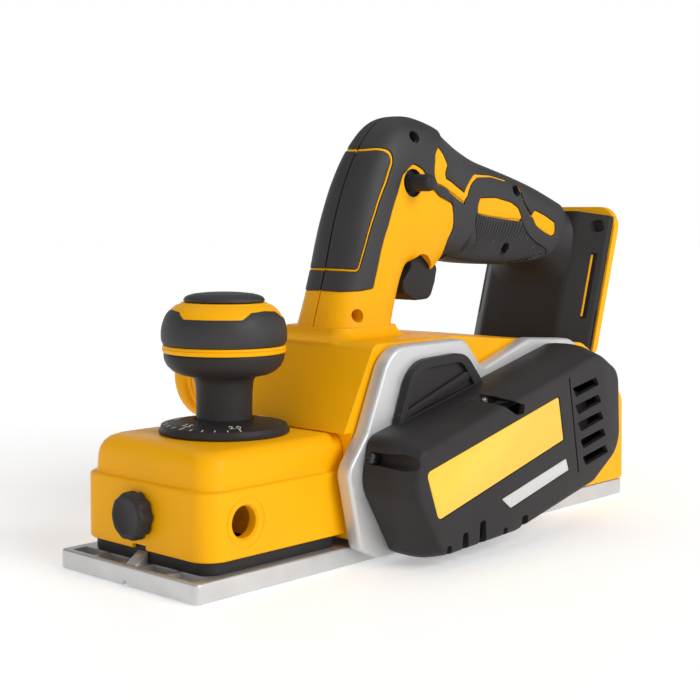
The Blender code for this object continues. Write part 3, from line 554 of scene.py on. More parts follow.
def rib_sweep(degrees):
    """How many stations a rib has swept forward where it is this many degrees round."""
    down = np.maximum(degrees - 90, 0) / 40
    return 0.30 * down + 0.34 * down ** 2


def rib_turn(points):
    """How far each flat point is through its rib, from 0 to 1."""
    count = (points[:, 0] / PER_STATION + rib_sweep(points[:, 1] / PER_DEGREE) - RIB_FIRST) / RIB_PITCH
    return count - np.floor(count)


def rib_line(first):
    """Flat line that one rib edge follows."""
    return [metric(first - rib_sweep(degrees), degrees) for degrees in (88 + 2.6 * k for k in range(27))]


def rib_field(grooves):
    """Closed flat outline of the ribbed field between the two grooves."""
    front, rear = grooves
    return [*front, metric(15.2, 164), *rear[::-1]]


def skin_map():
    """Cut one side of the handle's skin into flat triangles along all of its outlines."""
    loops = {"rubber": flat_loop(RUBBER_OUTLINE), "line": flat_loop(FRONT_LINE),
             "panel": flat_loop(FRONT_PANEL), "zigzag": flat_loop(ZIGZAG),
             "upper": flat_loop(UPPER_WINDOW), "rear": flat_loop(REAR_WINDOW)}
    grooves = [flat_line(line) for line in (FRONT_GROOVE, REAR_GROOVE)]
    seam = flat_line(HEAD_SEAM)
    rear_line = flat_line(REAR_LINE)
    strip = offset(rear_line, REAR_LINE_HALF, False) + offset(rear_line, -REAR_LINE_HALF, False)[::-1]
    loops["strip"] = resample(strip, LINE_STEP, True)

    first, last = metric(0, SEAM), metric(len(HANDLE) - 1, 180 - SEAM)
    points, edges = [], []

    def add(line, closed):
        kept = [p if first.x < p.x < last.x and first.y < p.y < last.y else None for p in line]
        base = len(points)
        index = {}
        for i, p in enumerate(kept):
            if p is not None:
                index[i] = base + len(index)
                points.append(p)
        pairs = [(i, (i + 1) % len(line)) for i in range(len(line) - (0 if closed else 1))]
        edges.extend((index[i], index[j]) for i, j in pairs if i in index and j in index)

    rim = [Vector(first), Vector((last.x, first.y)), Vector(last), Vector((first.x, last.y))]
    rim = resample(rim, 1.2, True)
    base = len(points)
    points.extend(rim)
    edges.extend((base + i, base + (i + 1) % len(rim)) for i in range(len(rim)))
    for loop in loops.values():
        for distance in (-EDGE, -GAP_HALF, GAP_HALF, EDGE):
            add(offset(loop, distance, True), True)
    for line in grooves:
        for distance in (-GROOVE_HALF, 0, GROOVE_HALF):
            add(offset(line, distance, False), False)
    for distance in (-0.2, 0.2):
        add(offset(seam, distance, False), False)
    ribs = rib_field(grooves)
    for k in range(int((RIB_LAST - RIB_FIRST) / RIB_PITCH)):
        for share in RIB_SHARES[:-1]:
            line = rib_line(RIB_FIRST + (k + share) * RIB_PITCH)
            good = inside(np.array([tuple(p) for p in line]), ribs)
            add([p for p, ok in zip(line, good) if ok], False)
    steps_u, steps_a = int(last.x / 1.6), int(last.y / 1.7)
    for i in range(1, steps_u):
        for k in range(1, steps_a):
            points.append(Vector((first.x + (last.x - first.x) * i / steps_u,
                                  first.y + (last.y - first.y) * k / steps_a)))
    verts, _, faces, _, _, _ = delaunay_2d_cdt(points, edges, [], 0, 1e-3)
    return loops, grooves, seam, ribs, np.array([tuple(v) for v in verts]), faces


def flat_area(corners):
    """Area of a flat triangle."""
    (ax, ay), (bx, by), (cx, cy) = corners
    return abs((bx - ax) * (cy - ay) - (by - ay) * (cx - ax)) / 2


def border_edges(faces):
    """Edges that only one of some triangles has."""
    counts = {}
    for a, b, c in faces:
        for edge in ((a, b), (b, c), (c, a)):
            key = tuple(sorted(edge))
            counts[key] = counts.get(key, 0) + 1
    return [edge for edge, count in counts.items() if count == 1]


def unpinched(faces):
    """Drop triangles at points where a region would touch itself at a corner."""
    while True:
        rims = {}
        for edge in border_edges(faces):
            for i in edge:
                rims[i] = rims.get(i, 0) + 1
        bad = {i for i, count in rims.items() if count > 2}
        if not bad:
            return faces
        faces = [f for f in faces if not bad.intersection(f)]


def skin_solid(name, flat, faces, lift, base, look):
    """Close a set of flat triangles into a solid on both sides of the handle."""
    shape = bmesh.new()
    used = sorted({i for face in faces for i in face})
    for side in (-1, 1):
        tops, bottoms = {}, {}
        for i in used:
            u, angle = flat[i][0] / PER_STATION, math.radians(flat[i][1] / PER_DEGREE)
            for store, height in ((tops, lift[i]), (bottoms, base)):
                x, y, z = handle_point(u, angle, height)
                store[i] = shape.verts.new((x, side * y, z))
        for a, b, c in faces:
            shape.faces.new((tops[a], tops[b], tops[c]))
            shape.faces.new((bottoms[a], bottoms[c], bottoms[b]))
        for a, b in border_edges(faces):
            shape.faces.new((tops[a], tops[b], bottoms[b], bottoms[a]))
    return finish(name, shape, look)


def handle_skin():
    """Yellow and black skins of the handle, cut along the panel lines and lifted off the core."""
    loops, grooves, seam, ribs, flat, faces = skin_map()
    faces = [f for f in faces if flat_area(flat[list(f)]) > 1e-4]
    centres = np.array([flat[list(f)].mean(0) for f in faces])
    edge_lines = [(loop, True) for loop in loops.values()]
    far = gaps_to(centres, edge_lines)
    black = inside(centres, loops["rubber"])
    black &= ~inside(centres, loops["line"]) | inside(centres, loops["panel"])
    for key in ("zigzag", "upper", "rear", "strip"):
        black &= ~inside(centres, loops[key])
    open_gap = far < GAP_HALF * 0.98

    reach = gaps_to(flat, edge_lines)
    rounding = EDGE_DROP * np.clip(1 - (reach - GAP_HALF) / (EDGE - GAP_HALF), 0, 1) ** 2
    groove = gaps_to(flat, [(line, False) for line in grooves])
    lift = RUBBER_LIFT - rounding - GROOVE_DEPTH * np.clip(1 - groove / GROOVE_HALF, 0, 1)
    turn = rib_turn(flat)
    rib = np.interp(turn, RIB_SHARES, RIB_HEIGHTS)
    field = inside(flat, ribs) & (groove > GROOVE_HALF) & (flat[:, 1] > metric(0, 91).y)
    lift += np.where(field, rib, 0)
    to_seam = gaps_to(flat, [(seam, False)])
    ahead = inside(flat, seam_side(seam))
    fade = np.clip((metric(0, 88).y - flat[:, 1]) / 6, 0, 1)
    lift += np.where(ahead, SEAM_LIFT * np.clip(1 - to_seam / 16, 0, 1) ** 1.5 * fade, 0)
    pieces = {}
    for name, chosen, heights, look in (("rubber", black, lift, SOFT),
                                        ("shell", ~black, -rounding, YELLOW)):
        kept = unpinched([f for f, use in zip(faces, chosen & ~open_gap) if use])
        pieces[name] = skin_solid("skin_" + name, flat, kept, heights, SKIN_BASE, look)
    return pieces["rubber"], pieces["shell"]


def seam_side(seam):
    """Closed flat outline of everything in front of the head's rear edge."""
    return [metric(0, -20), *seam, metric(9.12, 200), metric(0, 200)]


# Each handle screw is its place and the depth of its head.
SCREW_PLACES = ((113.8, 98.5, -9.0), (153.0, 176.5, -7.5), (222.5, 126.2, -9.0), (230.5, 154.2, -8.0))
PIN_X = 149.8
PIN_Z = 155.9
TRIGGER_MOUTH = ((147.5, 92, 1), (149, 112, 10), (152.5, 121, 8), (157.5, 124.6, 4), (163, 123.6, 6),
                 (168, 119.6, 8), (171, 114, 4), (172.5, 92, 1))


def screw_way(x, z, head):
    """Hole for one handle screw, open to the left."""
    profile = ((0, -40), (2.9, -40), (2.9, head + 3.3), (1.7, head + 3.3), (1.7, 8.3), (0, 8.3))
    return lathe("way", profile, (x, 0, z), YELLOW, "y", 32)


def surface_depth(x, z):
    """Distance from the centre plane to the handle's side at a place."""
    spots = [handle_point(2 + 0.1 * i, math.radians(3 * k)) for i in range(140) for k in range(1, 60)]
    near = min(spots, key=lambda spot: (spot[0] - x) ** 2 + (spot[2] - z) ** 2)
    return abs(near[1])


def sleeve(inner, outer, top, floor, x, z):
    """Black tube along y between two radii, used as painted shade on the wall of a hole."""
    profile = ((inner, top), (outer, top), (outer, floor), (inner, floor))
    return lathe("sleeve", profile, (x, 0, z), BLACK, "y", 48)


def painted_hole_shade():
    """Black tubes in the handle's pin hole and in the screw holes under the soft skin, as painted shade
    inside the holes.
    """
    # painted shade: black tubes over the hole walls and the pin hole's floor stand in for the shade inside
    # the holes
    holes = [(5.95, 6.27, -13.5, PIN_X, PIN_Z)]
    holes += [(2.55, 2.87, head + 1.2, x, z) for x, z, head in SCREW_PLACES[1:]]
    shade_tubes = [sleeve(inner, outer, 0.45 - surface_depth(x, z), floor, x, z)
               for inner, outer, floor, x, z in holes]
    return join("handle_sleeves", [*shade_tubes, sleeve(4.1, 6.27, -13.9, -13.45, PIN_X, PIN_Z)])


def handle():
    """Handle core, its yellow panels and its soft black skin."""
    rubber_skin, shell_skin = handle_skin()
    count, steps = 40, 120
    halves = []
    for side in (-1, 1):
        rings = []
        for i in range(steps + 1):
            u = (len(HANDLE) - 1) * i / steps
            ring = []
            for k in range(count + 1):
                x, y, z = handle_point(u, side * math.pi * k / count, CORE_LIFT)
                ring.append((x, side * max(abs(y), 0.11), z))
            rings.append(ring)
        halves.append(loft("core", rings))
    cavity = ((150, 96), (150, 139), (146, 139), (146, 172), (178, 172), (183, 139), (181, 96))
    for piece in (*halves, shell_skin, rubber_skin):
        cutters = [screw_way(*screw) for screw in SCREW_PLACES]
        cutters.append(rod("pin_way", 6.3, -40, -13.5, (PIN_X, 0, PIN_Z), "y", 48))
        cutters.append(rod("pin_bore", 4.1, -14, 12, (PIN_X, 0, PIN_Z), "y", 32))
        cutters.append(prism("cavity", cavity, -10.3, 10.3))
        cutters.append(prism("mouth", rounded(TRIGGER_MOUTH), -30, 30))
        carve(piece, *cutters)
    shell = join("handle_shell", [*halves, shell_skin])
    rubber_skin.name = "handle_grip_rubber"
    place_piece(shell, "chassis", "yellow_plastic", "handle_left", "handle_right")
    place_piece(rubber_skin, "chassis", "soft_rubber", "front_overmould", "grip_overmould")
    # the black tubes are painted shade inside the handle's holes
    place_piece(painted_hole_shade(), "chassis", "black_plastic")


# ---------------------------------------------------------------- nose and sole

KNOB_X = 51.2
ROD_X = 26.0
ROD_Z = 26.5
DRUM_X = 115.0
DRUM_Z = 27.7
ROTOR_X = 205.0
ROTOR_Z = 49.0
FOOT_X = 281.0
FOOT_Y = 30.0
FOOT_Z = 12.5
FOOT_SLOT = (FOOT_Y - 5.5, FOOT_Y + 5.5)
SOLE_HALF = 41.0
SOLE_TOP = 7.8


def nose_ring(inset, z):
    """Plan outline of the nose at one height."""
    outline = oblong((7 + inset, 82), (-39 + inset, 37.5 - inset), (9, 0.4, 0.4, 11), 10)
    return [(x, y, z) for x, y in outline]


def nose():
    """Front housing with its ledge, rolled top edge, ringed rod hole and the wells below."""
    levels = ((0.5, 13.0), (0, 13.5), (0, 38.0), (0.2, 38.7), (0.7, 39.1), (1.7, 39.3), (2.0, 39.8),
              (2.1, 42), (2.4, 46.8), (2.9, 49.0), (3.9, 51.1), (5.4, 52.7), (7.5, 53.6))
    shell = loft("nose_shell", [nose_ring(inset, z) for inset, z in levels])
    well = oblong((8.6, 80), (-37.4, 35.9), (7.4, 2, 2, 9.4), 8)
    bore = ((0, -60), (6.9, -60), (6.9, -38.9), (6.2, -38.2), (6.2, -34.6), (10.5, -34.6), (10.5, 31),
            (6, 31), (6, 60), (0, 60))
    ring = ((9.0, -60), (9.9, -60), (9.9, -38.82), (9.0, -38.82))
    carve(shell, lathe("bore", bore, (ROD_X, 0, ROD_Z), YELLOW, "y", 60),
          lathe("ring", ring, (ROD_X, 0, ROD_Z), YELLOW, "y", 92),
          prism("well", well, 0, 19.2, along="z"),
          rod("boss_well", 11.0, 0, 50, (KNOB_X, 0, 0), "z", 50),
          rod("screw_well", 4.6, 10, 70, (KNOB_X, 0, 0), "z", 44),
          rod("clamp_way", 3.3, -30, 12, (ROD_X - 12, 0, ROD_Z), "x"),
          box("notch", (0, 10), (-4, 4), (10, 15)))
    place_piece(shell, "chassis", "yellow_plastic", "nose_housing")


def drum_space(drop):
    """Space the turning blades need, seen from a shoe that may rise by the drop."""
    return rod("drum_space", 27.9, -45, 45, (DRUM_X, 0, DRUM_Z - drop), "y", 96)


def shoes():
    """Front shoe with its ribbed lip, gusset and groove, its black collar, and the rear shoe."""
    back = DRUM_X - 11
    plan = oblong((0, back), (-SOLE_HALF, SOLE_HALF), 2.2)
    front = soften(prism("front_sole", plan, 0, SOLE_TOP, SOLE, "z"), 0.9, 3)
    beds = [box("bed", (2.45, 9.35), (y, y + 14), (4.6, 12)) for y in (-36.3, -20.3, 6.2, 22.2)]
    groove = prism("groove", ((-3.4, -1), (3.4, -1), (0, 2.6)), -5, back + 5, along="x")
    carve(front, join("beds", beds))
    carve(front, groove)
    boss = lathe("boss", ((0, 6), (9, 6), (9, 34), (4.4, 34), (4.4, 14), (0, 14)), (KNOB_X, 0, 0), axis="z")
    gusset = soften(prism("gusset", ((2.2, 6.8), (9.2, 6.8), (9.2, 12.4), (3.0, 8.0)), -3, 3), 0.4, 2)
    carve(front, boss, gusset, operation="UNION")
    carve(front, drum_space(2.0))
    place_piece(front, "shoe", "cast_aluminium", "front_shoe")

    plan = oblong((9.5, 78), (-36.8, 35.3), (7, 3, 3, 9), 10)
    collar = soften(prism("sole_collar", plan, 8.1, 16.0, BLACK, "z"), 0.4, 2)
    carve(collar, rod("way", 9.4, 0, 40, (KNOB_X, 0, 0), "z"))
    place_piece(collar, "shoe", "black_plastic", "shoe_collar")

    plan = oblong((DRUM_X + 8, 2 * HALF_LENGTH), (-SOLE_HALF, SOLE_HALF), (2, 4, 4, 2))
    rear = soften(prism("rear_sole", plan, 0, SOLE_TOP, SOLE, "z"), 0.7, 3)
    slot = oblong((FOOT_X - 20, 300), FOOT_SLOT, (2, 0.5, 0.5, 2))
    carve(rear, prism("slot", slot, -2, 12, along="z"), drum_space(0))
    place_piece(rear, "chassis", "cast_aluminium", "rear_shoe")


def thumb_screw():
    """Clamp screw with a smooth dished face and a lobed rim."""
    lobes, per_lobe = 10, 10
    rings = []
    levels = ((0.9, 5.6, 0), (0.45, 6.2, 0), (0.25, 7.4, 0), (0.35, 8.1, 0.1), (0.8, 8.7, 0.35),
              (1.6, 9.2, 0.7), (2.6, 9.4, 0.85), (6.0, 9.5, 0.85), (6.4, 9.2, 0.8))
    for x, radius, depth in levels:
        ring = []
        for k in range(lobes * per_lobe):
            angle = 2 * math.pi * k / (lobes * per_lobe)
            reach = radius - depth * (0.5 - 0.5 * math.cos(lobes * angle)) ** 1.5
            ring.append((x, reach * math.cos(angle), ROD_Z + reach * math.sin(angle)))
        rings.append(ring)
    head = loft("thumb_screw", rings, BLACK)
    carve(head, rod("shank", 2.9, 5, 15, (0, 0, ROD_Z), "x", 48), operation="UNION")
    place_piece(head, "clamp", "black_plastic", "clamp_screw")


# ---------------------------------------------------------------- depth knob

TICK = math.radians(12.06)
TWO_MARK = math.radians(-117.3)
DIAL_SLOPE = math.radians(10.5)
DIAL_RIM = 24.9
DIAL_RIM_Z = 57.2
BAND_DIPS = [math.radians(turn) for turn in (-145, -25, 95)]
# Profiles of the knob's turned pieces: (radius, height).
DIAL = ((4.4, 53.9), (26.2, 53.9), (26.45, 54.3), (26.4, 54.9), (25.95, 55.3), (25.7, 55.7), (25.6, 56.6),
        (25.35, 57.05), (DIAL_RIM, DIAL_RIM_Z), (12.4, 59.52), (11.9, 59.3), (11.8, 57.3), (4.4, 57.3))
STEM = ((4.2, 57.5), (11.6, 57.5), (11.35, 59.5), (11.3, 63), (11.4, 70), (11.7, 73.5), (12.3, 75.6),
        (13.6, 76.6), (16, 77.0), (18.5, 77.6), (20.9, 78.9), (22.8, 80.7), (23.9, 82.7), (24.3, 84.4),
        (24.3, 85.6), (24.1, 85.9), (4.2, 85.9))
CROWN_RING = ((4.2, 86.2), (24.45, 86.2), (24.75, 86.5), (24.9, 87.2), (24.85, 87.75), (24.45, 87.9),
              (24.45, 88.05), (24.8, 88.2), (24.7, 88.8), (24.4, 89.1), (22.5, 89.25), (22.4, 98.6))
CROWN_TOP = ((17.2, 106.1), (16.4, 106.2), (4.2, 106.2))
CAP = ((0, 106.5), (16.0, 106.5), (16.35, 106.8), (16.3, 107.4), (15.7, 108.3), (14.4, 109.0), (12, 109.6),
       (8, 110.05), (4, 110.25), (0, 110.3))
# Outer radius of the knob's bulge by height: (height, radius).
BULGE = ((89.4, 24.7), (90.2, 25.1), (92.5, 25.4), (95, 25.3), (97.5, 24.85), (100, 24.0), (102, 22.9),
         (103.6, 21.6), (105, 19.9), (106.2, 16.6))


def bulge(z):
    """Outer radius of the knob at a height."""
    return float(np.interp(z, [level for level, _ in BULGE], [radius for _, radius in BULGE]))


def band_top(angle):
    """Height of the rubber band's upper edge, which dips in three wide bays."""
    bay = min(abs(math.remainder(angle - dip, 2 * math.pi)) for dip in BAND_DIPS)
    return float(np.interp(math.degrees(bay), [30, 41, 60], [100.4, 103.0, 103.5]))


def knob_band():
    """Soft band round the knob."""
    shape = bmesh.new()
    count, rows = 240, 10
    columns = []
    for k in range(count):
        angle = 2 * math.pi * k / count
        top = band_top(angle)
        heights = [89.5 + (top - 89.5) * i / rows for i in range(rows + 1)]
        outer = [(bulge(z) - (0.22 if i in (0, rows) else 0), z) for i, z in enumerate(heights)]
        inner = [(min(22.9, bulge(z) - 0.4), z) for z in reversed(heights)]
        columns.append([shape.verts.new((KNOB_X + r * math.cos(angle), r * math.sin(angle), z))
                        for r, z in outer + inner])
    for one, two in zip(columns, columns[1:] + columns[:1]):
        for i in range(len(one)):
            j = (i + 1) % len(one)
            shape.faces.new((one[i], one[j], two[j], two[i]))
    band = finish("knob_grip_band", shape, SOFT)
    place_piece(band, "knob", "soft_rubber", "knob_band")


def dial_height(radius):
    """Height of the dial's sloping face at a radius."""
    return DIAL_RIM_Z + (DIAL_RIM - radius) * math.tan(DIAL_SLOPE)


def dial_mark(width, low, high, angle):
    """A thin raised bar on the sloping face of the dial."""
    rings = []
    for radius in (low, high):
        z = dial_height(radius)
        rings.append([(KNOB_X + radius * math.cos(angle) - side * math.sin(angle) * width / 2,
                       radius * math.sin(angle) + side * math.cos(angle) * width / 2, z + rise)
                      for side, rise in ((-1, -0.2), (1, -0.2), (1, 0.06), (-1, 0.06))])
    return loft("mark", rings, PRINT)


def dial_number(text, angle, radius):
    """A number standing on the sloping face of the dial, read from outside."""
    curve = bpy.data.curves.new("number", "FONT")
    curve.body = text
    curve.size = 4.1
    curve.extrude = 0.13
    curve.align_x = "CENTER"
    curve.resolution_u = 3
    flat = bpy.data.objects.new("number", curve)
    bpy.context.collection.objects.link(flat)
    graph = bpy.context.evaluated_depsgraph_get()
    mesh = bpy.data.meshes.new_from_object(flat.evaluated_get(graph))
    bpy.data.objects.remove(flat)
    shape = bmesh.new()
    shape.from_mesh(mesh)
    bpy.data.meshes.remove(mesh)
    bmesh.ops.remove_doubles(shape, verts=shape.verts, dist=0.0001)
    stand = (Matrix.Translation((KNOB_X, 0, 0)) @ Matrix.Rotation(angle + math.pi / 2, 4, "Z")
             @ Matrix.Translation((0, -radius, dial_height(radius) - 0.05))
             @ Matrix.Rotation(DIAL_SLOPE, 4, "X"))
    bmesh.ops.transform(shape, matrix=stand, verts=shape.verts)
    return finish("number", shape, PRINT)


def knob():
    """Depth knob: marked dial, stem, yellow crown, soft band and domed cap."""
    axis = (KNOB_X, 0, 0)
    dial = lathe("dial_plate", DIAL, axis, BLACK, "z", 160)
    place_piece(dial, "knob", "black_plastic", "depth_dial")
    marks = [dial_mark(0.42, 22.9, 24.75, TWO_MARK - TICK * k) for k in range(21)]
    marks += [dial_mark(0.6, 21.9, 22.95, TWO_MARK - TICK * k) for k in range(0, 21, 5)]
    marks += [dial_number(text, TWO_MARK - TICK * (5 * k + 0.25), 20.9)
              for k, text in enumerate(("2.0", "1.5", "1.0", "0.5", "0"))]
    place_piece(join("dial_marks", marks), "knob", "black_plastic")

    stem = lathe("knob_stem", STEM, axis, BLACK, "z", 160)
    place_piece(stem, "knob", "black_plastic", "knob_core")
    crown = [(bulge(z) - 0.42, z) for z in (99.6, 100.3, 101, 102, 103, 103.9, 104.9, 105.7)]
    shell = lathe("knob_crown", [*CROWN_RING, *crown, *CROWN_TOP], axis, YELLOW, "z", 160)
    place_piece(shell, "knob", "yellow_plastic", "knob_shell")
    knob_band()
    cap = lathe("knob_dome", CAP, axis, SOFT, "z", 128)
    place_piece(cap, "knob", "soft_rubber", "knob_cap")


# ---------------------------------------------------------------- main body

def hump():
    """Main housing with its hump, cutter chamber, motor bay and tail."""
    outline = rounded(((82.3, 10.4, 0.5), (82.3, 53.9, 0.2), (78.0, 53.9, 0.3), (96.0, 89.0, 5),
                       (150, 89.3, 40), (250, 80.3, 12), (270, 69.5, 10), (289, 50, 9), (290.5, 8.1, 2),
                       (132, 8.1, 0.5), (112, 10.4, 0.5)), 10)
    shell = soften(prism("hump_shell", outline, -41, 46), 5.0, 6, 50)
    chamber = rounded(((85, 0, 1), (85, 50, 6), (97.5, 82, 6), (122, 82, 8), (146, 60, 14), (146, 0, 1)))
    bay = rounded(((151, 4.8, 1), (151, 80, 10), (246, 74, 10), (262, 62, 8), (280, 45, 6), (282, 4.8, 1)))
    post = rounded(((97, -23, 6), (146, -21, 6), (146, 21, 6), (97, 23, 6)))
    pin = ((0, -9), (2.4, -9), (2.4, 30), (0, 30))
    carve(shell, prism("chamber", chamber, -60, 41.3), prism("bay", bay, -38, 42.5),
          rod("bearing_way", 11, -60, -30, (ROTOR_X, 0, ROTOR_Z)),
          rod("chip_way", 12.5, 38, 60, (104.5, 0, 68.5), "y", 64),
          rod("bearing_seat", 9.3, 40, 44.5, (DRUM_X, 0, DRUM_Z)),
          prism("post_seat", post, 87.2, 100, along="z"),
          box("foot_bay", (FOOT_X - 22, 300), FOOT_SLOT, (0, 20)),
          lathe("pin_way", pin, (FOOT_X, FOOT_Y, FOOT_Z), YELLOW, "y", 32))
    place_piece(shell, "chassis", "yellow_plastic", "main_housing")

    rings = []
    for inset, z in ((-2.2, 85.8), (-2.5, 86.2), (-2.5, 87.6), (-2.1, 88.3), (-1.2, 88.8), (0.3, 89.2),
                     (1.8, 89.9), (2.9, 91.0), (3.6, 92.4), (3.9, 93.6)):
        ring = rounded(((97.3 + inset, -22.7 + inset, 7), (145.7 - inset, -20.7 + inset, 7),
                        (145.7 - inset, 20.7 - inset, 7), (97.3 + inset, 22.7 - inset, 7)), 8)
        rings.append([(x, y, z) for x, y in ring])
    place_piece(loft("post_seat_rim", rings), "chassis", "yellow_plastic", "post_collar")


def chip_spout():
    """Chip outlet with a rolled lip and two grip grooves, open through its length."""
    profile = ((16, 46.3), (20.2, 46.3), (20.5, 46.6), (20.5, 50), (20.1, 50.3), (20.1, 50.9), (20.5, 51.2),
               (20.5, 53.2), (20.1, 53.5), (20.1, 54.1), (20.5, 54.4), (20.5, 57), (21.6, 57.9), (22, 58.6),
               (22, 63), (21.7, 63.6), (21, 64), (16.8, 64), (16.2, 63.7), (16, 63))
    spout = lathe("chip_spout", profile, (101, 0, 70), YELLOW, "y", 128)
    place_piece(spout, "chassis", "yellow_plastic", "dust_port")


def cast_frame():
    """Cast side frame with its rolled outer edge and bearing seats."""
    outline = rounded(((92, 2.5, 4), (80.5, 7.5, 5), (72.4, 40, 8), (83.5, 54.5, 5), (98, 88.3, 16),
                       (147, 88.8, 9), (160, 75.2, 6), (196, 86.2, 14), (238, 83.5, 14), (241, 40, 12),
                       (232, 18, 8), (150, 2.5, 6)), 10)
    frame_piece = soften(prism("cast_frame", outline, -48.5, -41.3, CAST), 1.5, 4)
    carve(frame_piece, rod("seat", 11.3, -60, -30, (DRUM_X, 0, DRUM_Z), "y", 64),
          rod("seat", 9.3, -60, -30, (ROTOR_X, 0, ROTOR_Z), "y", 64))
    place_piece(frame_piece, "chassis", "cast_aluminium", "side_frame")


# ---------------------------------------------------------------- belt cover

# Each cover screw is its place, its head's radius and the depth its head sits at.
COVER_FIXINGS = ((83.5, 45.0, 2.9, -52.5), (142.6, 63.9, 1.7, -62.0))
COVER_BASE = -48.8
COVER_FACE = -74.0
OUTSIDE = -80.0


def cover_outline(grow):
    """Side outline of the belt cover's main face, which rises towards the rear."""
    return rounded(((87 - grow, 49.5 + grow, 7), (213, 80.5 + grow, 16), (231.5 + grow, 70, 10),
                    (234 + grow, 35, 14), (212, 21 - grow, 10), (152, 8.0 - grow, 14),
                    (101 - grow * 0.7, 5.6 - grow * 0.6, 7), (83.5 - grow, 34, 16)), 10)


def cover_loft(name, levels):
    """Solid over the belt cover's outline, grown by an amount at each place across."""
    return loft(name, [[(x, y, z) for x, z in cover_outline(grow)] for grow, y in levels], BLACK)


def cover():
    """Belt cover: softened shell, ridged brow, vents, scallops, screw channel, plate and strip."""
    levels = ((3.6, COVER_BASE), (3.9, -52), (4.0, -57), (3.8, -61), (3.2, -64.5), (1.8, -68.5),
              (0.5, -71.6), (0.15, -72.5), (-0.35, -73.3), (-1.1, -73.8), (-2.0, COVER_FACE))
    shell = cover_loft("cover_shell", levels)
    brow = soften(prism("brow", rounded(((95, 48, 3), (107.5, 82, 16), (142, 83.5, 12), (158, 66, 3)), 10),
                        -53, COVER_BASE), 0.5, 3)
    carve(shell, brow, operation="UNION")
    pocket = prism("pocket", rounded(((98.6, 50, 2), (109.3, 78.6, 12), (139.3, 79.9, 8), (151, 66, 3))),
                   -60, -51.2)
    carve(pocket, cover_loft("shoulder", ((4.6, -100), (4.6, -40))))
    carve(shell, pocket)
    ridge = ((98.6, 60.7), (99.4, 57.7), (144.5, 71.6), (145.0, 74.6), (141.8, 75.2))
    ridge_bar = soften(prism("ridge", ridge, -52.9, -50.9), 0.5, 3)
    carve(shell, ridge_bar, operation="UNION")
    line = ((188.83, 70.21), (189.72, 70.57), (198.61, 27.23), (197.74, 26.84))
    cutters = [cover_loft("hollow", ((-2.6, -40), (-2.6, -71.4))),
               prism("line", line, OUTSIDE, COVER_FACE + 0.63)]
    for k in range(5):
        x, z = 201.2 - 2.3 * k, 33.6 + 8.0 * k
        corners = ((x, z), (x + 19, z + 3.4), (x + 21.9, z - 0.2), (x + 3.1, z - 4.2))
        slot = rounded([(*corner, 0.5) for corner in corners], 3)
        cutters.append(prism("slot", slot, OUTSIDE, -60))
    for x, low, high in ((105.0, 9.4, 2.6), (115.6, 13.0, 3.0), (127.2, 16.0, 3.4), (143.2, 10.6, 2.6),
                         (157.2, 13.6, 3.7)):
        bite = rounded(((x - high, -6, 0.5), (x - high * 0.55, low, 1.2), (x + high * 0.55, low + 0.6, 1.2),
                        (x + high, -6, 0.5)), 5)
        cutters.append(prism("scallop", bite, OUTSIDE, -69.5))
    latch = rounded(((131.2, 65.2, 0.5), (137.4, 67.4, 0.6), (155.6, 61.6, 0.6), (154.9, 57.8, 0.6),
                     (149.8, 57.8, 0.6), (140.0, 62.9, 0.8)), 4)
    cutters.append(prism("latch", latch, OUTSIDE, -62))
    for x, z, width, floor in COVER_FIXINGS:
        cutters.append(rod("screw_way", width + 0.3, OUTSIDE, floor + 0.3, (x, 0, z), "y", 40))
        cutters.append(rod("screw_way", 1.9, -70, -45, (x, 0, z), "y", 32))
    label = ((89.4, 41.4, 2.6), (181.4, 63.4, 1.2), (186.2, 43.0, 1.2), (97.6, 20.4, 2.6))
    strip = ((139.8, 23.4, 0.3), (188.2, 35.0, 0.5), (190.6, 28.9, 0.5), (146.4, 18.2, 1.0))
    for bed, steps in ((label, 6), (strip, 4)):
        cutters.append(prism("bed", rounded(bed, steps), OUTSIDE, COVER_FACE + 0.3))
    carve(shell, *cutters)
    place_piece(shell, "chassis", "black_plastic", "belt_cover")
    plate = ((90.1, 40.9, 2.2), (180.9, 62.6, 0.9), (185.4, 43.3, 0.9), (98.0, 21.1, 2.2))
    tape = ((140.3, 23.2, 0.3), (187.9, 34.5, 0.4), (190.1, 29.2, 0.4), (146.6, 18.7, 0.9))
    for name, outline, steps, look in (("cover_plate", plate, 6, LABEL), ("cover_strip", tape, 4, PALE)):
        flat = prism(name, rounded(outline, steps), COVER_FACE + 0.02, COVER_FACE + 0.5, look)
        place_piece(soften(flat, 0.08, 1), "chassis", "yellow_plastic")


def cross_screw(name, head, start, end, centre, look):
    """Round-headed screw along y with a cross cut in its head."""
    x, z = centre
    profile = ((0, start - 1.6), (head * 0.5, start - 1.55), (head * 0.8, start - 1.2), (head, start - 0.5),
               (head, start), (1.5, start), (1.5, end), (0, end))
    screw = lathe(name, profile, (x, 0, z), look, "y", 48)
    cuts = [box("cut", (x - a, x + a), (start - 3, start - 0.8), (z - b, z + b))
            for a, b in ((head * 0.65, 0.3), (0.3, head * 0.65))]
    return carve(screw, *cuts)


# ---------------------------------------------------------------- trigger and battery mount

def trigger():
    """Trigger with a rolled finger face."""
    outline = rounded(((151.4, 112, 2), (151.4, 107, 4), (160, 103, 6), (171, 103.4, 5), (174.4, 111, 4),
                       (176, 118, 3), (171.5, 122, 2), (171.5, 131, 1), (157, 131, 1), (157, 118, 2)), 8)
    lever = soften(prism("trigger_lever", outline, -9.6, 9.6, BLACK), 2.0, 4, 50)
    place_piece(lever, "trigger_body", "black_plastic", "trigger")
    profile = ((0, -27), (2.2, -27), (2.9, -26.7), (3.5, -26.1), (3.8, -25.2), (3.8, -16.5), (3.5, -16.2),
               (3.5, -15.6), (3.8, -15.3), (3.8, 2.7), (3.5, 3), (0, 3))
    button = lathe("lock_off_button", profile, (PIN_X, 0, PIN_Z), BLACK, "y", 64)
    place_piece(button, "lock_off", "black_plastic", "lock_off_pin")


LEAN = 0.29
LEAN_BASE = 80.0
FLANGE_X = 268.3


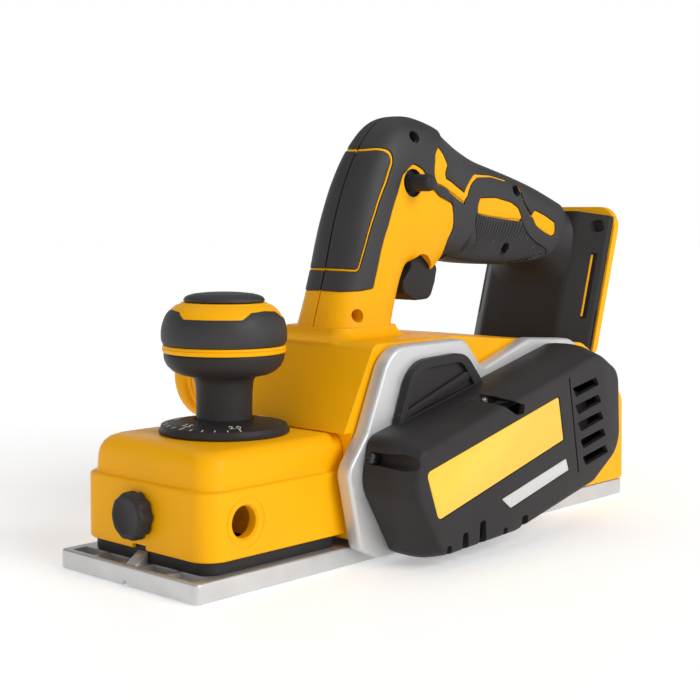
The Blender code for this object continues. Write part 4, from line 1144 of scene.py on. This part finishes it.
def leaning(outline, low, high):
    """Rings of a block that leans back: an outline of (x, y) carried from one height to another."""
    return [[(x + LEAN * (z - LEAN_BASE), y, z) for x, y in outline] for z in (low, high)]


def neck():
    """Flare that carries the handle's end into the battery bracket."""
    rings = []
    for i in range(13):
        t = i / 12
        ring = []
        for k in range(72):
            angle = 2 * math.pi * k / 72
            under = (0.5 - 0.5 * math.cos(angle)) ** 1.5
            lift = -0.75 + t ** 2.2 * 11.5 * under
            x, y, z = handle_point(16.35 + 0.65 * t, angle, lift)
            ring.append((x + 3.5 * t * t, y, z - 2.2 * t * t))
        rings.append(ring)
    return loft("neck", rings)


def mount():
    """Battery bracket with its slots and screw holes, and the yellow flange with its rails."""
    plan = rounded(((252.3, -23, 6), (264.8, -36, 2.5), (268.0, -36, 0.3), (268.0, 36, 0.3), (264.8, 36, 2.5),
                    (252.3, 23, 6)), 8)
    bracket = loft("bracket_shell", leaning(plan, 60, 150), BLACK)
    top = ((200, 141), (245, 150), (300, 139), (300, 180), (200, 180))
    under = ((200, 40), (200, 82.5), (250, 80.9), (268, 73.2), (300, 58), (300, 40))
    carve(bracket, prism("top", top, -60, 60), prism("under", under, -60, 60))
    soften(bracket, 1.5, 4, 50)
    carve(bracket, neck(), operation="UNION")
    cutters = []
    for side in (-1, 1):
        slit = rounded([(x, side * y, 0.3) for x, y in corners_of((260.2, 262.4), (28, 40))], 3)
        cutters.append(loft("slit", leaning(slit, 91, 123.6)))
        seam = [(x, side * y) for x, y in corners_of((266.2, 267.1), (34.6, 40))]
        cutters.append(loft("seam", leaning(seam, 77, 95)))
        cutters.append(rod("screw_way", 3.1, 266, 279.5, (0, side * 31.6, 137.2), "x", 40))
    carve(bracket, *cutters)
    place_piece(bracket, "chassis", "black_plastic", "battery_bracket")

    rings = []
    for depth, inset in ((0, 0.3), (0.3, 0), (3.9, 0), (4.2, 0.3)):
        face = oblong((-37 + inset, 37 - inset), (73 + inset, 147 - inset), (3, 3, 12, 12), 8)
        rings.append([(FLANGE_X + depth + LEAN * (z - LEAN_BASE), y, z) for y, z in face])
    flange = loft("battery_plate", rings)
    parts = []
    for side in (-1, 1):
        web = [(x, side * y) for x, y in corners_of((271.8, 277.8), (22, 29))]
        lip = rounded([(x, side * y, 0.6) for x, y in corners_of((275.4, 277.8), (18.5, 29))], 3)
        parts.append(loft("web", leaning(web, 78, 128)))
        parts.append(loft("lip", leaning(lip, 78, 128)))
    carve(flange, *parts, operation="UNION")
    strips = []
    for side in (-1, 1):
        strip = [(x, side * y) for x, y in ((260.7, 28.6), (262.0, 28.6), (262.0, 31.3), (260.7, 30.1))]
        strips.append(loft("strip", leaning(strip, 92, 122.8)))
    shell = join("battery_flange_shell", [flange, *strips])
    place_piece(shell, "chassis", "yellow_plastic", "battery_flange")


# ---------------------------------------------------------------- studio

def soft_sun(name, towards, strength, spread):
    """Broad, even light from one direction, with soft shadows."""
    lamp = bpy.data.lights.new(name, "SUN")
    lamp.energy = strength
    lamp.angle = math.radians(spread)
    holder = bpy.data.objects.new(name, lamp)
    holder.rotation_euler = Vector(towards).to_track_quat("Z", "Y").to_euler()
    bpy.context.collection.objects.link(holder)


def pale_sky():
    """World that is white at the horizon and dimmer overhead."""
    world = bpy.data.worlds.new("studio")
    world.use_nodes = True
    tree = world.node_tree
    place = tree.nodes.new("ShaderNodeTexCoord")
    split = tree.nodes.new("ShaderNodeSeparateXYZ")
    tree.nodes["Background"].inputs["Color"].default_value = (1, 1, 1, 1)
    level = tree.nodes.new("ShaderNodeMapRange")
    for key, value in (("From Min", 0.16), ("From Max", 0.5), ("To Min", 1.0), ("To Max", 0.12)):
        level.inputs[key].default_value = value
    tree.links.new(place.outputs["Generated"], split.inputs[0])
    tree.links.new(split.outputs["Z"], level.inputs["Value"])
    tree.links.new(level.outputs[0], tree.nodes["Background"].inputs["Strength"])
    bpy.context.scene.world = world


def studio():
    """Pale floor, soft lights, and the camera ahead of the left side, level with the handle."""
    sheet = bmesh.new()
    bmesh.ops.create_grid(sheet, x_segments=1, y_segments=1, size=6.0)
    mesh = bpy.data.meshes.new("floor")
    sheet.to_mesh(mesh)
    sheet.free()
    n = Nodes("pale_floor")
    mesh.materials.append(n.set(Base_Color=n.blend(n.noise(3.0), (0.90, 0.90, 0.90), (0.92, 0.92, 0.92)),
                                Roughness=0.6, Emission_Color=(1, 1, 1, 1), Emission_Strength=0.34))
    floor = bpy.data.objects.new("floor", mesh)
    floor.location.z = -0.0002
    bpy.context.collection.objects.link(floor)

    pale_sky()
    soft_sun("key", (0.12, -0.80, 0.52), 1.75, 35)
    soft_sun("top", (0.1, 0.2, 1.0), 0.7, 70)
    soft_sun("fill", (-1.0, -0.25, 0.45), 0.2, 70)

    lens = bpy.data.cameras.new("camera")
    lens.sensor_width = 36.0
    lens.lens = 70.456
    lens.shift_y = -0.018786
    lens.clip_start = 0.01
    camera = bpy.data.objects.new("camera", lens)
    yaw, pitch, roll = math.radians(47.75), math.radians(-4.8), math.radians(0.34)
    forward = Vector((math.sin(yaw) * math.cos(pitch), math.cos(yaw) * math.cos(pitch), math.sin(pitch)))
    turn = forward.to_track_quat("-Z", "Y").to_matrix().to_4x4() @ Matrix.Rotation(roll, 4, "Z")
    camera.matrix_world = Matrix.Translation((-0.46722, -0.40163, 0.13857)) @ turn
    bpy.context.collection.objects.link(camera)
    bpy.context.scene.camera = camera
    bpy.context.scene.view_settings.view_transform = "Standard"


dress_cad_nodes()
studio()
handle()
nose()
shoes()
thumb_screw()
knob()
hump()
chip_spout()
cast_frame()
cover()
for k, (x, z, width, floor) in enumerate(COVER_FIXINGS):
    screw = cross_screw(f"cover_fixing_{k + 1}", width, floor, COVER_BASE, (x, z), (BLACKENED, STEEL)[k])
    place_piece(screw, "chassis", "steel", f"cover_screw_{k + 1}")
trigger()
mount()
